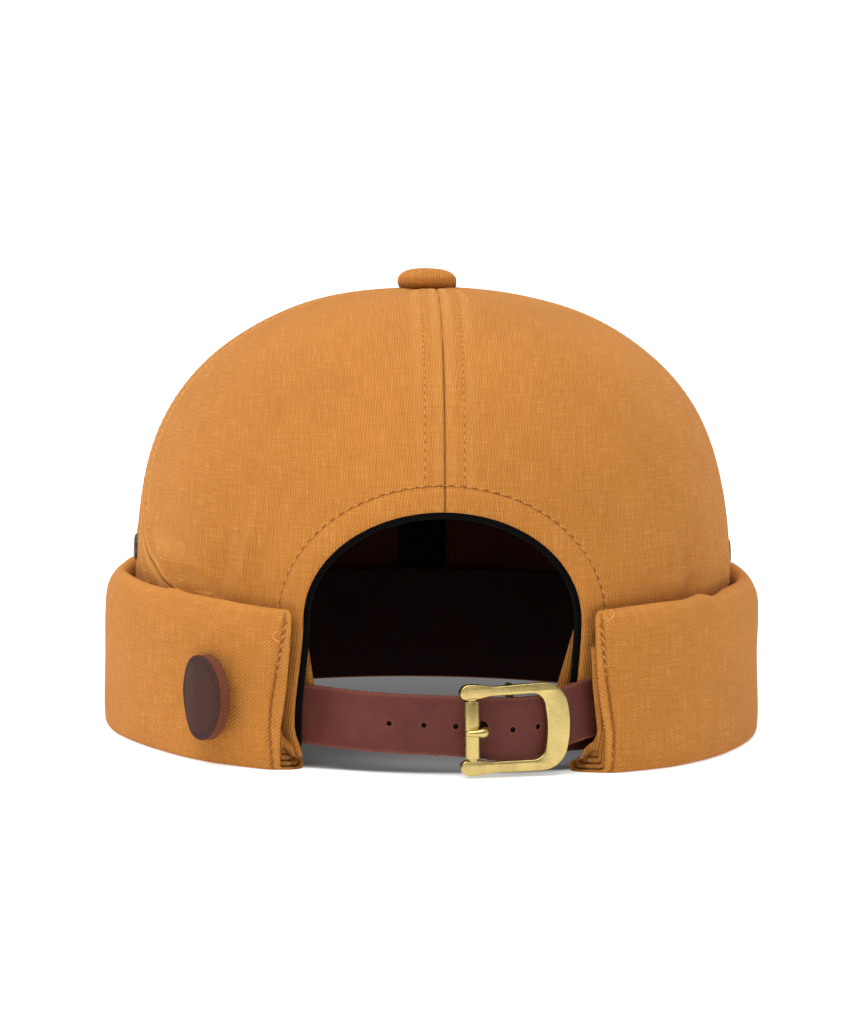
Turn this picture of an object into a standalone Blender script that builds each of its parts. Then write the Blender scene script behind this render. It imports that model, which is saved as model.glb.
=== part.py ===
"""A brimless cap with a turned-up cuff, an arch opening at the back and a buckled leather strap.

Metres, +Z up. The back opening faces -Y and the wearer looks along +Y. The cap rests on
its cuff at Z = 0, with the origin in the middle of its footprint. Places on the cap are
given by an angle round the crown, from the back towards +X, a height, and a distance out
from the crown's outer face.
"""

import math

import bmesh
import bpy
from mathutils import Matrix, Vector

# Crown: an upright wall and a dome, both of the same cloth
CROWN_HALF_WIDTH = 0.0875
CROWN_HALF_DEPTH = 0.1000
CROWN_HEIGHT = 0.1282
CROWN_EDGE = 0.0034
DOME_START = 0.0422
RISE_POWER = 2.5
ROUND_POWER = 2.4
CROWN_CLOTH = 0.0012
TIP_RADIUS = 0.0046
SEAM_GAP = 0.0004
GAP = 0.0003
LINING_GAP = 0.00045

# The side seams swing back towards the arch as they come down to the cuff
SIDE_SEAM_TOP = math.radians(86)
SIDE_SEAM_EDGE = math.radians(60)
SIDE_SEAM_DROP = 0.0160

# Button on the top, a little left of the seams
BUTTON_RADIUS = 0.0087
BUTTON_RISE = 0.0056
BUTTON_SHANK_RADIUS = 0.0013
BUTTON_LEAN = 0.0018

# Arch opening, its sizes as seen from straight behind, and the hem round it
ARCH_HALF_WIDTH = 0.0375
ARCH_SPRING = 0.0405
ARCH_TOP = 0.0704
HEM_WIDTH = 0.0073
HEM_PROUD = 0.0005
HEM_THICKNESS = 0.0020

# Black tapes: one inside the arch's hem, the others over the crown's seams
TAPE_THICKNESS = 0.0010
ARCH_TAPE_PEEK = 0.0013
ARCH_TAPE_WIDTH = 0.0075
SEAM_TAPE_WIDTH = 0.0152

# Sweatband, and the cloth tabs that close its two ends
SWEATBAND_BOTTOM = 0.0008
SWEATBAND_HEIGHT = 0.0348
SWEATBAND_THICKNESS = 0.0014
SWEATBAND_CLEARANCE = 0.0020
TAB_THICKNESS = 0.0012
TAB_REACH = 0.0135
TAB_LEAN = 0.0030
TAB_HEIGHT = 0.0387

# Cuff, a wound band several cloths thick, turned up from the crown's lower edge
CUFF_STAND = 0.0087
CUFF_HEIGHT = 0.0462
CUFF_END_X = ARCH_HALF_WIDTH + 0.0055

# The cuff's section: distance out from the crown and height, as shares of stand and height,
# and whether the point's height follows the swell (the foot stays on the ground all round)
CUFF_SECTION = (
    # (out, up, swell)
    (-0.14, 0.015, 0),
    (-0.05, 0.000, 0),
    (0.70, 0.000, 0),
    (0.91, 0.020, 0),
    (0.99, 0.070, 0),
    (1.01, 0.180, 1),
    (1.01, 0.450, 1),
    (0.99, 0.700, 1),
    (0.96, 0.850, 1),
    (0.88, 0.940, 1),
    (0.72, 0.990, 1),
    (0.52, 1.000, 1),
    (0.34, 0.965, 1),
    (0.22, 0.890, 1),
    (0.24, 0.780, 1),
    (0.36, 0.640, 1),
    (0.37, 0.140, 1),
    (0.28, 0.085, 0),
    (-0.02, 0.067, 0),
    (-0.14, 0.055, 0),
)

# How the cuff fills out from its sewn ends to the front: shares of the way, stand and height
CUFF_SWELL = (
    # (way, stand, height)
    (0.000, 0.86, 0.945),
    (0.030, 0.95, 0.950),
    (0.090, 1.00, 0.965),
    (0.300, 1.00, 0.990),
    (0.550, 1.00, 1.020),
    (0.800, 1.00, 1.000),
    (1.000, 1.00, 1.000),
)

# Vent eyelets, two on each side: which side, distance along Y as a share of the crown's half
# depth, and height as a share of the cuff's
EYELET_RADIUS = 0.0040
EYELET_BORE = 0.0019
EYELET_BARREL = 0.0005
EYELET_DOME = 0.0011
EYELETS = (
    # (name, side, along, height)
    ("left_rear", -1, -0.09, 1.12),
    ("left_front", -1, 0.13, 1.18),
    ("right_rear", 1, -0.09, 1.12),
    ("right_front", 1, 0.13, 1.18),
)

# Leather patch on the left of the cuff, its right side standing off by the lift
PATCH_RADIUS = 0.0115
PATCH_THICKNESS = 0.0028
PATCH_ANGLE = math.radians(-41)
PATCH_HEIGHT = 0.0187
PATCH_LIFT = 0.0020

# Leather straps
STRAP_WIDTH = 0.0160
STRAP_THICKNESS = 0.0016
SHORT_STRAP_WIDTH = 0.0150
SHORT_STRAP_THICKNESS = 0.0014
STRAP_HOLE = 0.0024
PRONG_HOLE_LENGTH = 0.0040
PRONG_HOLE_WIDTH = 0.0032
PRONG_SLOT_WIDTH = 0.0028
SEWN_DEPTH = 0.00405  # of the middle of a strap's sewn end, in from the crown's face

# The long strap's way: across the back as shares of the arch's half width, out from the crown
# as shares of the sewn depth, and the height of its middle as shares of the cuff's height
LONG_STRAP_ROUTE = (
    # (across, out, height)
    (-1.280, -1.00, 0.310),
    (-1.067, -1.00, 0.309),
    (-0.933, -0.99, 0.308),
    (-0.800, -0.64, 0.306),
    (-0.560, -0.17, 0.302),
    (-0.267, 0.12, 0.298),
    (0.000, 0.27, 0.295),
    (0.213, 0.32, 0.294),
    (0.496, 0.59, 0.297),
    (0.747, 0.52, 0.318),
    (0.880, 0.49, 0.342),
    (1.027, 0.42, 0.371),
    (1.200, 0.42, 0.398),
    (1.387, 0.42, 0.418),
)
STRAP_HOLES_ACROSS = (-0.376, -0.133, 0.091, 0.496, 0.675)  # shares of the arch's half width

# The short strap's sewn end: the same shares across, from the end to where it leaves the hem
SHORT_STRAP_SEWN = (1.280, 1.067, 0.880)
SHORT_STRAP_DROP = 0.0004

# Buckle: a cast frame with a bar for the roller at its toe and a bar across its middle. It
# hangs a little lower at its toe.
BUCKLE_ACROSS = 0.496 * ARCH_HALF_WIDTH
BUCKLE_HEIGHT = 0.0134
BUCKLE_TILT = math.radians(1.9)
FRAME_THICKNESS = 0.0020
FRAME_OUT = 0.0029
FRAME_BEVEL = 0.0004
FRAME_HALF_LONG = 0.0152
FRAME_HALF_TALL = 0.0120
RAIL_INNER = 0.0088
TOE_BAR_U = -0.0122
TOE_BAR_RADIUS = 0.0012
ROLLER_RADIUS = 0.0021
CENTRE_BAR_RADIUS = 0.0011
CENTRE_BAR_OUT = -0.0017
POST_HALF_WIDTH = 0.0013
PRONG_RADIUS = 0.0008

# The frame's outline: along the strap as shares of its half length, up, and the corner's
# radius as a share of its half height
FRAME_OUTLINE = (
    # (along, up, radius)
    (-1.02, FRAME_HALF_TALL, 0.157),
    (0.85, FRAME_HALF_TALL, 0.620),
    (0.97, 0.0, 2.480),
    (0.82, -FRAME_HALF_TALL, 0.620),
    (-1.02, -FRAME_HALF_TALL, 0.157),
    (-1.02, -RAIL_INNER, 0.107),
    (0.56, -RAIL_INNER, 0.300),
    (0.59, RAIL_INNER, 0.300),
    (-1.02, RAIL_INNER, 0.107),
)

# The prong from its hook round the middle bar to its tip: along as shares of the toe bar's
# distance, out as shares of the roller's reach, and its radius as shares of the bare one
PRONG_ROUTE = (
    # (along, out, radius)
    (0.230, 0.041, 1.0),
    (0.470, -0.049, 1.0),
    (0.615, 0.098, 1.0),
    (0.680, 0.393, 1.0),
    (0.720, 0.721, 1.1),
    (0.810, 1.080, 1.2),
    (0.992, 1.235, 1.3),
    (1.160, 1.165, 1.3),
    (1.250, 1.010, 0.8),
)

# How finely the curved faces are cut
DOME_ROWS = 12
WALL_ROWS = 3
BACK_COLUMNS = 9
FRONT_COLUMNS = 13
ARCH_COLUMNS = 8
CUFF_COLUMNS = 44
ROUND_SIDES = 12
PRONG_SIDES = 8

# The footprint's middle is the origin: the front of the cuff and the prong over the roller
# reach as far as each other
ROLLER_REACH = FRAME_OUT + FRAME_THICKNESS / 2 + ROLLER_RADIUS
PRONG_REACH = max(out * ROLLER_REACH + share * PRONG_RADIUS for _, out, share in PRONG_ROUTE)
CENTRE_Y = (PRONG_REACH - CUFF_STAND) / 2


def clear_scene():
    """Removes every object that is in the file."""
    for obj in list(bpy.data.objects):
        bpy.data.objects.remove(obj, do_unlink=True)


def make_material(name, colour, roughness, metallic=0.0):
    """A plain Principled finish."""
    material = bpy.data.materials.new(name)
    material.use_nodes = True
    shader = material.node_tree.nodes["Principled BSDF"]
    shader.inputs["Base Color"].default_value = (*colour, 1.0)
    shader.inputs["Roughness"].default_value = roughness
    shader.inputs["Metallic"].default_value = metallic
    material.diffuse_color = (*colour, 1.0)
    return material


def dome_share(height):
    """The crown's half width at a height, as a share of its half width at the wall."""
    rise = (height - DOME_START) / (CROWN_HEIGHT - DOME_START)
    rise = min(max(rise, 0.0), 1.0)
    return (1 - rise**RISE_POWER) ** (1 / ROUND_POWER)


def dome_height(share):
    """The height at which the dome has this share of the wall's half width."""
    rise = (1 - min(share, 1.0) ** ROUND_POWER) ** (1 / RISE_POWER)
    return DOME_START + (CROWN_HEIGHT - DOME_START) * rise


def wall_point(angle, height, out):
    """A point beside the crown's upright wall."""
    x = CROWN_HALF_WIDTH * math.sin(angle)
    y = -CROWN_HALF_DEPTH * math.cos(angle)
    normal = Vector((x / CROWN_HALF_WIDTH**2, y / CROWN_HALF_DEPTH**2, 0)).normalized()
    return Vector((x, y + CENTRE_Y, height)) + normal * out


def crown_point(angle, height, out):
    """A point at a distance out from the crown's outer face, square to it."""
    step = 1e-6
    share = dome_share(height)
    x = CROWN_HALF_WIDTH * share * math.sin(angle)
    y = -CROWN_HALF_DEPTH * share * math.cos(angle)
    slope = (dome_share(height + step) - dome_share(height - step)) / (2 * step)
    normal = Vector((x / CROWN_HALF_WIDTH**2, y / CROWN_HALF_DEPTH**2, -share * slope))
    return Vector((x, y + CENTRE_Y, height)) + normal.normalized() * out


def angle_across(x, height):
    """The angle of the crown's point that is seen from straight behind at x and a height."""
    return math.asin(x / (CROWN_HALF_WIDTH * dome_share(height)))


def arc_radius(angle):
    """Length round the wall for each radian."""
    return math.hypot(
        CROWN_HALF_WIDTH * math.cos(angle), CROWN_HALF_DEPTH * math.sin(angle)
    )


def side_seam(height):
    """The angle of the right side seam at a height."""
    above = max(height - DOME_START, 0.0)
    swing = SIDE_SEAM_TOP - SIDE_SEAM_EDGE
    return SIDE_SEAM_TOP - swing * math.exp(-above / SIDE_SEAM_DROP)


def link(name, mesh, material):
    """Puts a mesh in the scene as a named object."""
    obj = bpy.data.objects.new(name, mesh)
    mesh.materials.append(material)
    bpy.context.scene.collection.objects.link(obj)
    mesh.shade_smooth()
    mesh.set_sharp_from_angle(angle=math.radians(40))
    return obj


def mesh_from(bm, name):
    """Turns a bmesh into a mesh."""
    mesh = bpy.data.meshes.new(name)
    bm.to_mesh(mesh)
    bm.free()
    return mesh


def sheet(name, columns, surface, out, thickness, material):
    """A cloth or leather piece laid on a surface: columns of (angle, height), top rows level.

    The face lies at a distance out from the surface and the thickness goes inwards.
    """
    bm = bmesh.new()
    grid = [[bm.verts.new(surface(a, h, out)) for a, h in column] for column in columns]
    for left, right in zip(grid, grid[1:]):
        rows = min(len(left), len(right))
        left, right = left[-rows:], right[-rows:]
        for row in range(rows - 1):
            bm.faces.new((left[row], right[row], right[row + 1], left[row + 1]))
    bmesh.ops.triangulate(bm, faces=bm.faces, quad_method="SHORT_EDGE")
    obj = link(name, mesh_from(bm, name), material)
    solidify = obj.modifiers.new("thickness", "SOLIDIFY")
    solidify.thickness = thickness
    solidify.offset = -1
    return obj


def loft(name, rings, material):
    """A closed solid through rings of points, with its two ends capped."""
    bm = bmesh.new()
    loops = [[bm.verts.new(point) for point in ring] for ring in rings]
    for first, second in zip(loops, loops[1:]):
        for k in range(len(first)):
            after = (k + 1) % len(first)
            bm.faces.new((first[k], first[after], second[after], second[k]))
    bm.faces.new(loops[0])
    bm.faces.new(loops[-1])
    bmesh.ops.recalc_face_normals(bm, faces=bm.faces)
    return link(name, mesh_from(bm, name), material)


def lathe(name, profile, closed, material):
    """A solid turned round Z from (radius, height) points."""
    bm = bmesh.new()
    points = [bm.verts.new((radius, 0, height)) for radius, height in profile]
    edges = [bm.edges.new(pair) for pair in zip(points, points[1:])]
    if closed:
        edges.append(bm.edges.new((points[-1], points[0])))
    bmesh.ops.spin(
        bm,
        geom=points + edges,
        axis=(0, 0, 1),
        cent=(0, 0, 0),
        angle=math.tau,
        steps=ROUND_SIDES,
        use_merge=True,
    )
    bmesh.ops.remove_doubles(bm, verts=bm.verts, dist=1e-6)
    bmesh.ops.recalc_face_normals(bm, faces=bm.faces)
    return link(name, mesh_from(bm, name), material)


def helper(obj):
    """Hides an object that only shapes another."""
    obj.hide_render = True
    obj.display_type = "WIRE"
    return obj


def boolean(obj, other, operation, solver="EXACT"):
    """Joins or cuts an object with a helper."""
    modifier = obj.modifiers.new(other.name, "BOOLEAN")
    modifier.object = helper(other)
    modifier.operation = operation
    modifier.solver = solver


def rod(name, start, end, radius, material, squash=1.0):
    """A straight round rod between two points, its second radius scaled by squash."""
    along = end - start
    turn = along.to_track_quat("Z", "Y").to_matrix()
    rings = []
    for centre in (start, end):
        ring = []
        for k in range(ROUND_SIDES):
            angle = math.tau * k / ROUND_SIDES
            spoke = Vector((radius * math.cos(angle), radius * squash * math.sin(angle), 0))
            ring.append(centre + turn @ spoke)
        rings.append(ring)
    return loft(name, rings, material)


def smooth_through(points, steps):
    """Points on a smooth curve through the given ones, as vectors of any length."""
    ends = [2 * points[0] - points[1], *points, 2 * points[-1] - points[-2]]
    found = []
    for p0, p1, p2, p3 in zip(ends, ends[1:], ends[2:], ends[3:]):
        for k in range(steps):
            t = k / steps
            found.append(
                0.5
                * (
                    2 * p1
                    + (p2 - p0) * t
                    + (2 * p0 - 5 * p1 + 4 * p2 - p3) * t**2
                    + (3 * p1 - p0 - 3 * p2 + p3) * t**3
                )
            )
    return [*found, points[-1]]


def rows_above(start):
    """Heights from the start up to the crown's tip, evenly spread round the dome."""
    rise = max(start - DOME_START, 0.0) / (CROWN_HEIGHT - DOME_START)
    first = math.asin(rise ** (RISE_POWER / 2))
    last = math.acos((TIP_RADIUS / CROWN_HALF_WIDTH) ** (ROUND_POWER / 2))
    heights = [start]
    for k in range(1, DOME_ROWS + 1):
        turned = first + (last - first) * k / DOME_ROWS
        rise = math.sin(turned) ** (2 / RISE_POWER)
        heights.append(DOME_START + (CROWN_HEIGHT - DOME_START) * rise)
    return heights


def rows_beside():
    """Heights of a whole column of the crown, from its lower edge to the tip."""
    wall = ARCH_SPRING - CROWN_EDGE
    low = [CROWN_EDGE + wall * k / WALL_ROWS for k in range(WALL_ROWS)]
    return low + rows_above(ARCH_SPRING)


def seam_half_gap(height):
    """Half the gap at a seam, as an angle."""
    return SEAM_GAP / 2 / (CROWN_HALF_WIDTH * dome_share(height))


def columns_between(first, last, count):
    """Columns of (angle, height) from one angle to another, both given by height."""
    heights = rows_beside()
    columns = []
    for k in range(count + 1):
        share = k / count
        columns.append([(first(h) * (1 - share) + last(h) * share, h) for h in heights])
    return columns


def columns_over_arch(side):
    """Columns from beside the arch to the back seam, each standing on the hem's outline."""
    half = ARCH_HALF_WIDTH + HEM_WIDTH + GAP
    rise = ARCH_TOP - ARCH_SPRING + HEM_WIDTH + GAP
    columns = []
    for k in range(1, ARCH_COLUMNS + 1):
        turned = math.pi / 2 * k / ARCH_COLUMNS
        foot = ARCH_SPRING + rise * math.sin(turned)
        heights = rows_above(foot)
        if k == ARCH_COLUMNS:
            columns.append([(side * seam_half_gap(h), h) for h in heights])
        else:
            angle = side * angle_across(half * math.cos(turned), foot)
            columns.append([(angle, h) for h in heights])
    return columns


def back_panel(name, side, material):
    """One back panel: from its side seam to the back seam, over half of the arch."""
    beside_arch = angle_across(ARCH_HALF_WIDTH + HEM_WIDTH + GAP, ARCH_SPRING)
    columns = columns_between(
        lambda h: side * (side_seam(h) - seam_half_gap(h)),
        lambda h: side * beside_arch,
        BACK_COLUMNS,
    )
    columns += columns_over_arch(side)
    if side > 0:
        columns.reverse()
    return sheet(name, columns, crown_point, 0, CROWN_CLOTH, material)


def front_panel(name, side, material):
    """One front panel: from its side seam to the front seam."""
    columns = columns_between(
        lambda h: side * (side_seam(h) + seam_half_gap(h)),
        lambda h: side * (math.pi - seam_half_gap(h)),
        FRONT_COLUMNS,
    )
    if side < 0:
        columns.reverse()
    return sheet(name, columns, crown_point, 0, CROWN_CLOTH, material)


def make_button(material):
    """The cloth-covered button, with the shank that goes down between the panels' tips."""
    under = GAP
    profile = (
        (0.0, BUTTON_RISE),
        (BUTTON_RADIUS * 0.40, BUTTON_RISE * 0.985),
        (BUTTON_RADIUS * 0.72, BUTTON_RISE * 0.90),
        (BUTTON_RADIUS * 0.92, BUTTON_RISE * 0.68),
        (BUTTON_RADIUS, BUTTON_RISE * 0.40),
        (BUTTON_RADIUS * 0.97, BUTTON_RISE * 0.18),
        (BUTTON_RADIUS * 0.90, under),
        (BUTTON_SHANK_RADIUS, under),
        (BUTTON_SHANK_RADIUS, GAP - CROWN_CLOTH),
        (0.0, GAP - CROWN_CLOTH),
    )
    button = lathe("top_button", profile, False, material)
    button.location = (-BUTTON_LEAN, CENTRE_Y, CROWN_HEIGHT)


def arch_outline(widen):
    """The arch's outline from its left foot to its right one, made wider all round."""
    half = ARCH_HALF_WIDTH + widen
    rise = ARCH_TOP - ARCH_SPRING + widen
    side = [
        (half, CROWN_EDGE + (ARCH_SPRING - CROWN_EDGE) * k / WALL_ROWS)
        for k in range(WALL_ROWS)
    ]
    top = []
    steps = 2 * ARCH_COLUMNS
    for k in range(steps + 1):
        turned = math.pi * (1 - k / steps)
        top.append((half * math.cos(turned), ARCH_SPRING + rise * math.sin(turned)))
    return [(-x, z) for x, z in side] + top + side[::-1]


def arch_strip(name, low, high, out, thickness, material):
    """A strip that follows the arch, between two widenings of its outline."""
    outlines = [arch_outline(low + (high - low) * k / 2) for k in range(3)]
    columns = []
    for station in zip(*outlines):
        columns.append([(angle_across(x, z), z) for x, z in station])
    return sheet(name, columns, crown_point, out, thickness, material)


def make_sweatband(material):
    """The leather band inside the crown, from one side of the arch round to the other."""
    end = angle_across(
        ARCH_HALF_WIDTH + HEM_WIDTH + SWEATBAND_CLEARANCE, ARCH_SPRING
    )
    columns = []
    for k in range(CUFF_COLUMNS + 1):
        angle = end + (math.tau - 2 * end) * k / CUFF_COLUMNS
        column = []
        for share in (0.0, 0.5, 1.0):
            column.append((angle, SWEATBAND_BOTTOM + SWEATBAND_HEIGHT * share))
        columns.append(column)
    sheet(
        "sweatband",
        columns,
        wall_point,
        -CROWN_CLOTH - LINING_GAP,
        SWEATBAND_THICKNESS,
        material,
    )


def make_tab(name, side, material):
    """A cloth tab inside the arch's lower corner, over a strap's sewn end."""
    out = -(SEWN_DEPTH + STRAP_THICKNESS / 2 + GAP)
    columns = []
    for k in range(4):
        column = []
        for share in (0.0, 0.35, 0.7, 1.0):
            edge = ARCH_HALF_WIDTH - TAB_LEAN * (1 - share**2)
            x = edge + (TAB_REACH - TAB_LEAN * share) * k / 3
            angle = angle_across(x, 0)
            column.append((side * angle, SWEATBAND_BOTTOM + TAB_HEIGHT * share))
        columns.append(column)
    if side < 0:
        columns.reverse()
    sheet(name, columns, wall_point, out, TAB_THICKNESS, material)


def tape_row(seam, height, offsets):
    """Three places across a seam, as (angle, height), square to it near the tip."""
    share = dome_share(height)
    angle = seam(height)
    if share > 0.5:
        reach = arc_radius(angle) * share
        return [(angle + offset / reach, height) for offset in offsets]
    x = CROWN_HALF_WIDTH * share * math.sin(angle)
    y = -CROWN_HALF_DEPTH * share * math.cos(angle)
    outward = Vector((x, y)).normalized()
    row = []
    for offset in offsets:
        px = (x - outward.y * offset) / CROWN_HALF_WIDTH
        py = (y + outward.x * offset) / CROWN_HALF_DEPTH
        row.append((math.atan2(px, -py), dome_height(math.hypot(px, py))))
    return row


def seam_tape(name, seam, rows, last_share, material):
    """A black tape over a seam inside the crown, on the panels' rows up to near the tip."""
    heights = [h for h in rows if dome_share(h) > last_share + 0.03]
    heights.append(dome_height(last_share))
    half = SEAM_TAPE_WIDTH / 2
    middle = seam(heights[0])
    places = []
    for height in heights:
        row = tape_row(seam, height, (-half, 0, half))
        places.append([(middle + math.remainder(a - middle, math.tau), h) for a, h in row])
    columns = [list(column) for column in zip(*places)]
    sheet(name, columns, crown_point, -CROWN_CLOTH - LINING_GAP, TAPE_THICKNESS, material)


def make_seam_tapes(material):
    """The tapes over the front, back and side seams. The side ones stop at the others."""
    band_top = SWEATBAND_BOTTOM + SWEATBAND_HEIGHT
    inside = [band_top + GAP] + [h for h in rows_beside() if h > band_top + 2 * GAP]
    over_arch = rows_above(ARCH_TOP + HEM_WIDTH + GAP)
    middle = SEAM_GAP / CROWN_HALF_DEPTH
    beside = (SEAM_TAPE_WIDTH / 2 + 0.0009) / CROWN_HALF_WIDTH
    seam_tape("front_seam_tape", lambda h: math.pi, inside, middle, material)
    seam_tape("back_seam_tape", lambda h: 0.0, over_arch, middle, material)
    seam_tape("right_seam_tape", side_seam, inside, beside, material)
    seam_tape("left_seam_tape", lambda h: -side_seam(h), inside, beside, material)


def table_at(rows, way):
    """A table's columns at a way between its first column's values, eased between rows."""
    for low, high in zip(rows, rows[1:]):
        if way <= high[0]:
            share = (way - low[0]) / (high[0] - low[0])
            share = share * share * (3 - 2 * share)
            return [a + (b - a) * share for a, b in zip(low[1:], high[1:])]
    return list(rows[-1][1:])


def cuff_end():
    """The angle of the cuff's two ends, beside the arch."""
    return math.asin(CUFF_END_X / (CROWN_HALF_WIDTH + CUFF_STAND))


def cuff_size(angle):
    """The cuff's stand and height at an angle."""
    way = (abs(math.remainder(angle, math.tau)) - cuff_end()) / (math.pi - cuff_end())
    stand, height = table_at(CUFF_SWELL, max(way, 0.0))
    return CUFF_STAND * stand, CUFF_HEIGHT * height


def make_cuff(material):
    """The cuff: its section carried round the crown from one end to the other."""
    end = cuff_end()
    rings = []
    for k in range(CUFF_COLUMNS + 1):
        angle = end + (math.tau - 2 * end) * k / CUFF_COLUMNS
        stand, height = cuff_size(angle)
        ring = []
        for out, up, swell in CUFF_SECTION:
            tall = CUFF_HEIGHT + (height - CUFF_HEIGHT) * swell
            reach = (stand if out > 0.5 else CUFF_STAND) * out
            ring.append(wall_point(angle, tall * up, reach))
        rings.append(ring)
    loft("cuff", rings, material)


def cuff_face(angle, height, out):
    """A point at a distance out from the cuff's outer face, on its upright stretch."""
    section = [(up, reach) for reach, up, _ in CUFF_SECTION[3:10]]
    stand, tall = cuff_size(angle)
    reach = table_at(section, max(height / tall, section[0][0]))[0]
    return wall_point(angle, height, stand * reach + out)


def make_patch(material):
    """The round leather patch, bent to the cuff's face."""
    bm = bmesh.new()
    reach = arc_radius(PATCH_ANGLE) + CUFF_STAND
    rings = []
    for share in (0.5, 1.0):
        ring = []
        for k in range(2 * ROUND_SIDES):
            turned = math.tau * k / (2 * ROUND_SIDES)
            along = PATCH_RADIUS * share * math.cos(turned)
            up = PATCH_RADIUS * share * math.sin(turned)
            out = GAP + PATCH_LIFT * (1 + along / PATCH_RADIUS) / 2
            point = cuff_face(PATCH_ANGLE + along / reach, PATCH_HEIGHT + up, out)
            ring.append(bm.verts.new(point))
        rings.append(ring)
    inner, outer = rings
    bm.faces.new(inner)
    for k in range(len(inner)):
        after = (k + 1) % len(inner)
        bm.faces.new((inner[k], outer[k], outer[after], inner[after]))
    patch = link("leather_patch", mesh_from(bm, "leather_patch"), material)
    solidify = patch.modifiers.new("thickness", "SOLIDIFY")
    solidify.thickness = PATCH_THICKNESS
    solidify.offset = 1


def make_eyelets(panels, material):
    """The brass vent eyelets: a domed ring outside, a barrel, and a washer inside."""
    back = -CROWN_CLOTH - 4 * GAP
    barrel = EYELET_BORE + EYELET_BARREL
    profile = (
        (EYELET_BORE, EYELET_DOME * 0.75),
        (EYELET_BORE + EYELET_BARREL, GAP + EYELET_DOME),
        (EYELET_RADIUS * 0.82, GAP + EYELET_DOME * 0.90),
        (EYELET_RADIUS, GAP + EYELET_DOME * 0.35),
        (barrel, GAP),
        (barrel, back),
        (EYELET_RADIUS * 0.90, back),
        (EYELET_RADIUS * 0.88, back - EYELET_BARREL),
        (EYELET_BORE + EYELET_BARREL * 0.3, back - EYELET_BARREL),
    )
    for name, side, along, up in EYELETS:
        height = up * CUFF_HEIGHT
        angle = side * math.acos(-along / dome_share(height))
        seat = crown_point(angle, height, 0)
        facing = crown_point(angle, height, 1) - seat
        turn = facing.to_track_quat("Z", "Y")
        eyelet = lathe("eyelet_" + name, profile, True, material)
        eyelet.location = seat
        eyelet.rotation_mode = "QUATERNION"
        eyelet.rotation_quaternion = turn
        depth = 3 * CROWN_CLOTH
        hole = rod(
            "hole_" + name,
            seat - facing * depth,
            seat + facing * depth,
            barrel + GAP,
            material,
        )
        boolean(panels[side], hole, "DIFFERENCE", "MANIFOLD")


def strap_point(across, out, height):
    """A place on a strap's middle: across the back, out from the crown, and its height."""
    return wall_point(angle_across(across, 0), height, out)


def strap(name, middle, width, thickness, upward, material):
    """A flat strap on edge, along the points of its middle line."""
    rings = []
    for k, point in enumerate(middle):
        after = middle[min(k + 1, len(middle) - 1)]
        before = middle[max(k - 1, 0)]
        out = (after - before).cross(upward).normalized() * thickness / 2
        up = upward * width / 2
        rings.append([point - out - up, point + out - up, point + out + up, point - out + up])
    return loft(name, rings, material)


def buckle_frame_of_reference():
    """Where the buckle sits: along the strap, up, and out from the crown."""
    angle = angle_across(BUCKLE_ACROSS, 0)
    seat = wall_point(angle, BUCKLE_HEIGHT, 0)
    out = (wall_point(angle, BUCKLE_HEIGHT, 1) - seat).normalized()
    up = Matrix.Rotation(BUCKLE_TILT, 3, out) @ Vector((0, 0, 1))
    along = up.cross(out)
    matrix = Matrix((along, up, out)).transposed().to_4x4()
    matrix.translation = seat
    return matrix


def make_long_strap(place, material):
    """The punched strap, from inside the left hem, through the buckle, to the right cuff."""
    points = []
    for across, out, height in LONG_STRAP_ROUTE:
        row = (across * ARCH_HALF_WIDTH, out * SEWN_DEPTH, height * CUFF_HEIGHT)
        points.append(strap_point(*row))
    middle = smooth_through(points, 4)
    upright = Vector((0, 0, 1))
    obj = strap("long_strap", middle, STRAP_WIDTH, STRAP_THICKNESS, upright, material)
    reach = 4 * STRAP_THICKNESS
    for number, share in enumerate(STRAP_HOLES_ACROSS):
        across = share * ARCH_HALF_WIDTH
        height = strap_height_at(across)
        start = strap_point(across, -reach, height)
        end = strap_point(across, reach, height)
        hole = rod(f"strap_hole_{number}", start, end, STRAP_HOLE / 2, material)
        boolean(obj, hole, "DIFFERENCE")
    along = PRONG_ROUTE[2][0] * TOE_BAR_U - PRONG_RADIUS / 2
    up = strap_height_at(BUCKLE_ACROSS) - BUCKLE_HEIGHT
    start = place @ Vector((along, up, -reach))
    end = place @ Vector((along, up, reach))
    hole = rod(
        "prong_hole",
        start,
        end,
        PRONG_HOLE_WIDTH / 2,
        material,
        PRONG_HOLE_LENGTH / PRONG_HOLE_WIDTH,
    )
    boolean(obj, hole, "DIFFERENCE")


def strap_height_at(across):
    """The height of the long strap's middle at a place across the back."""
    rows = [(share, height) for share, _, height in LONG_STRAP_ROUTE]
    return table_at(rows, across / ARCH_HALF_WIDTH)[0] * CUFF_HEIGHT


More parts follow.
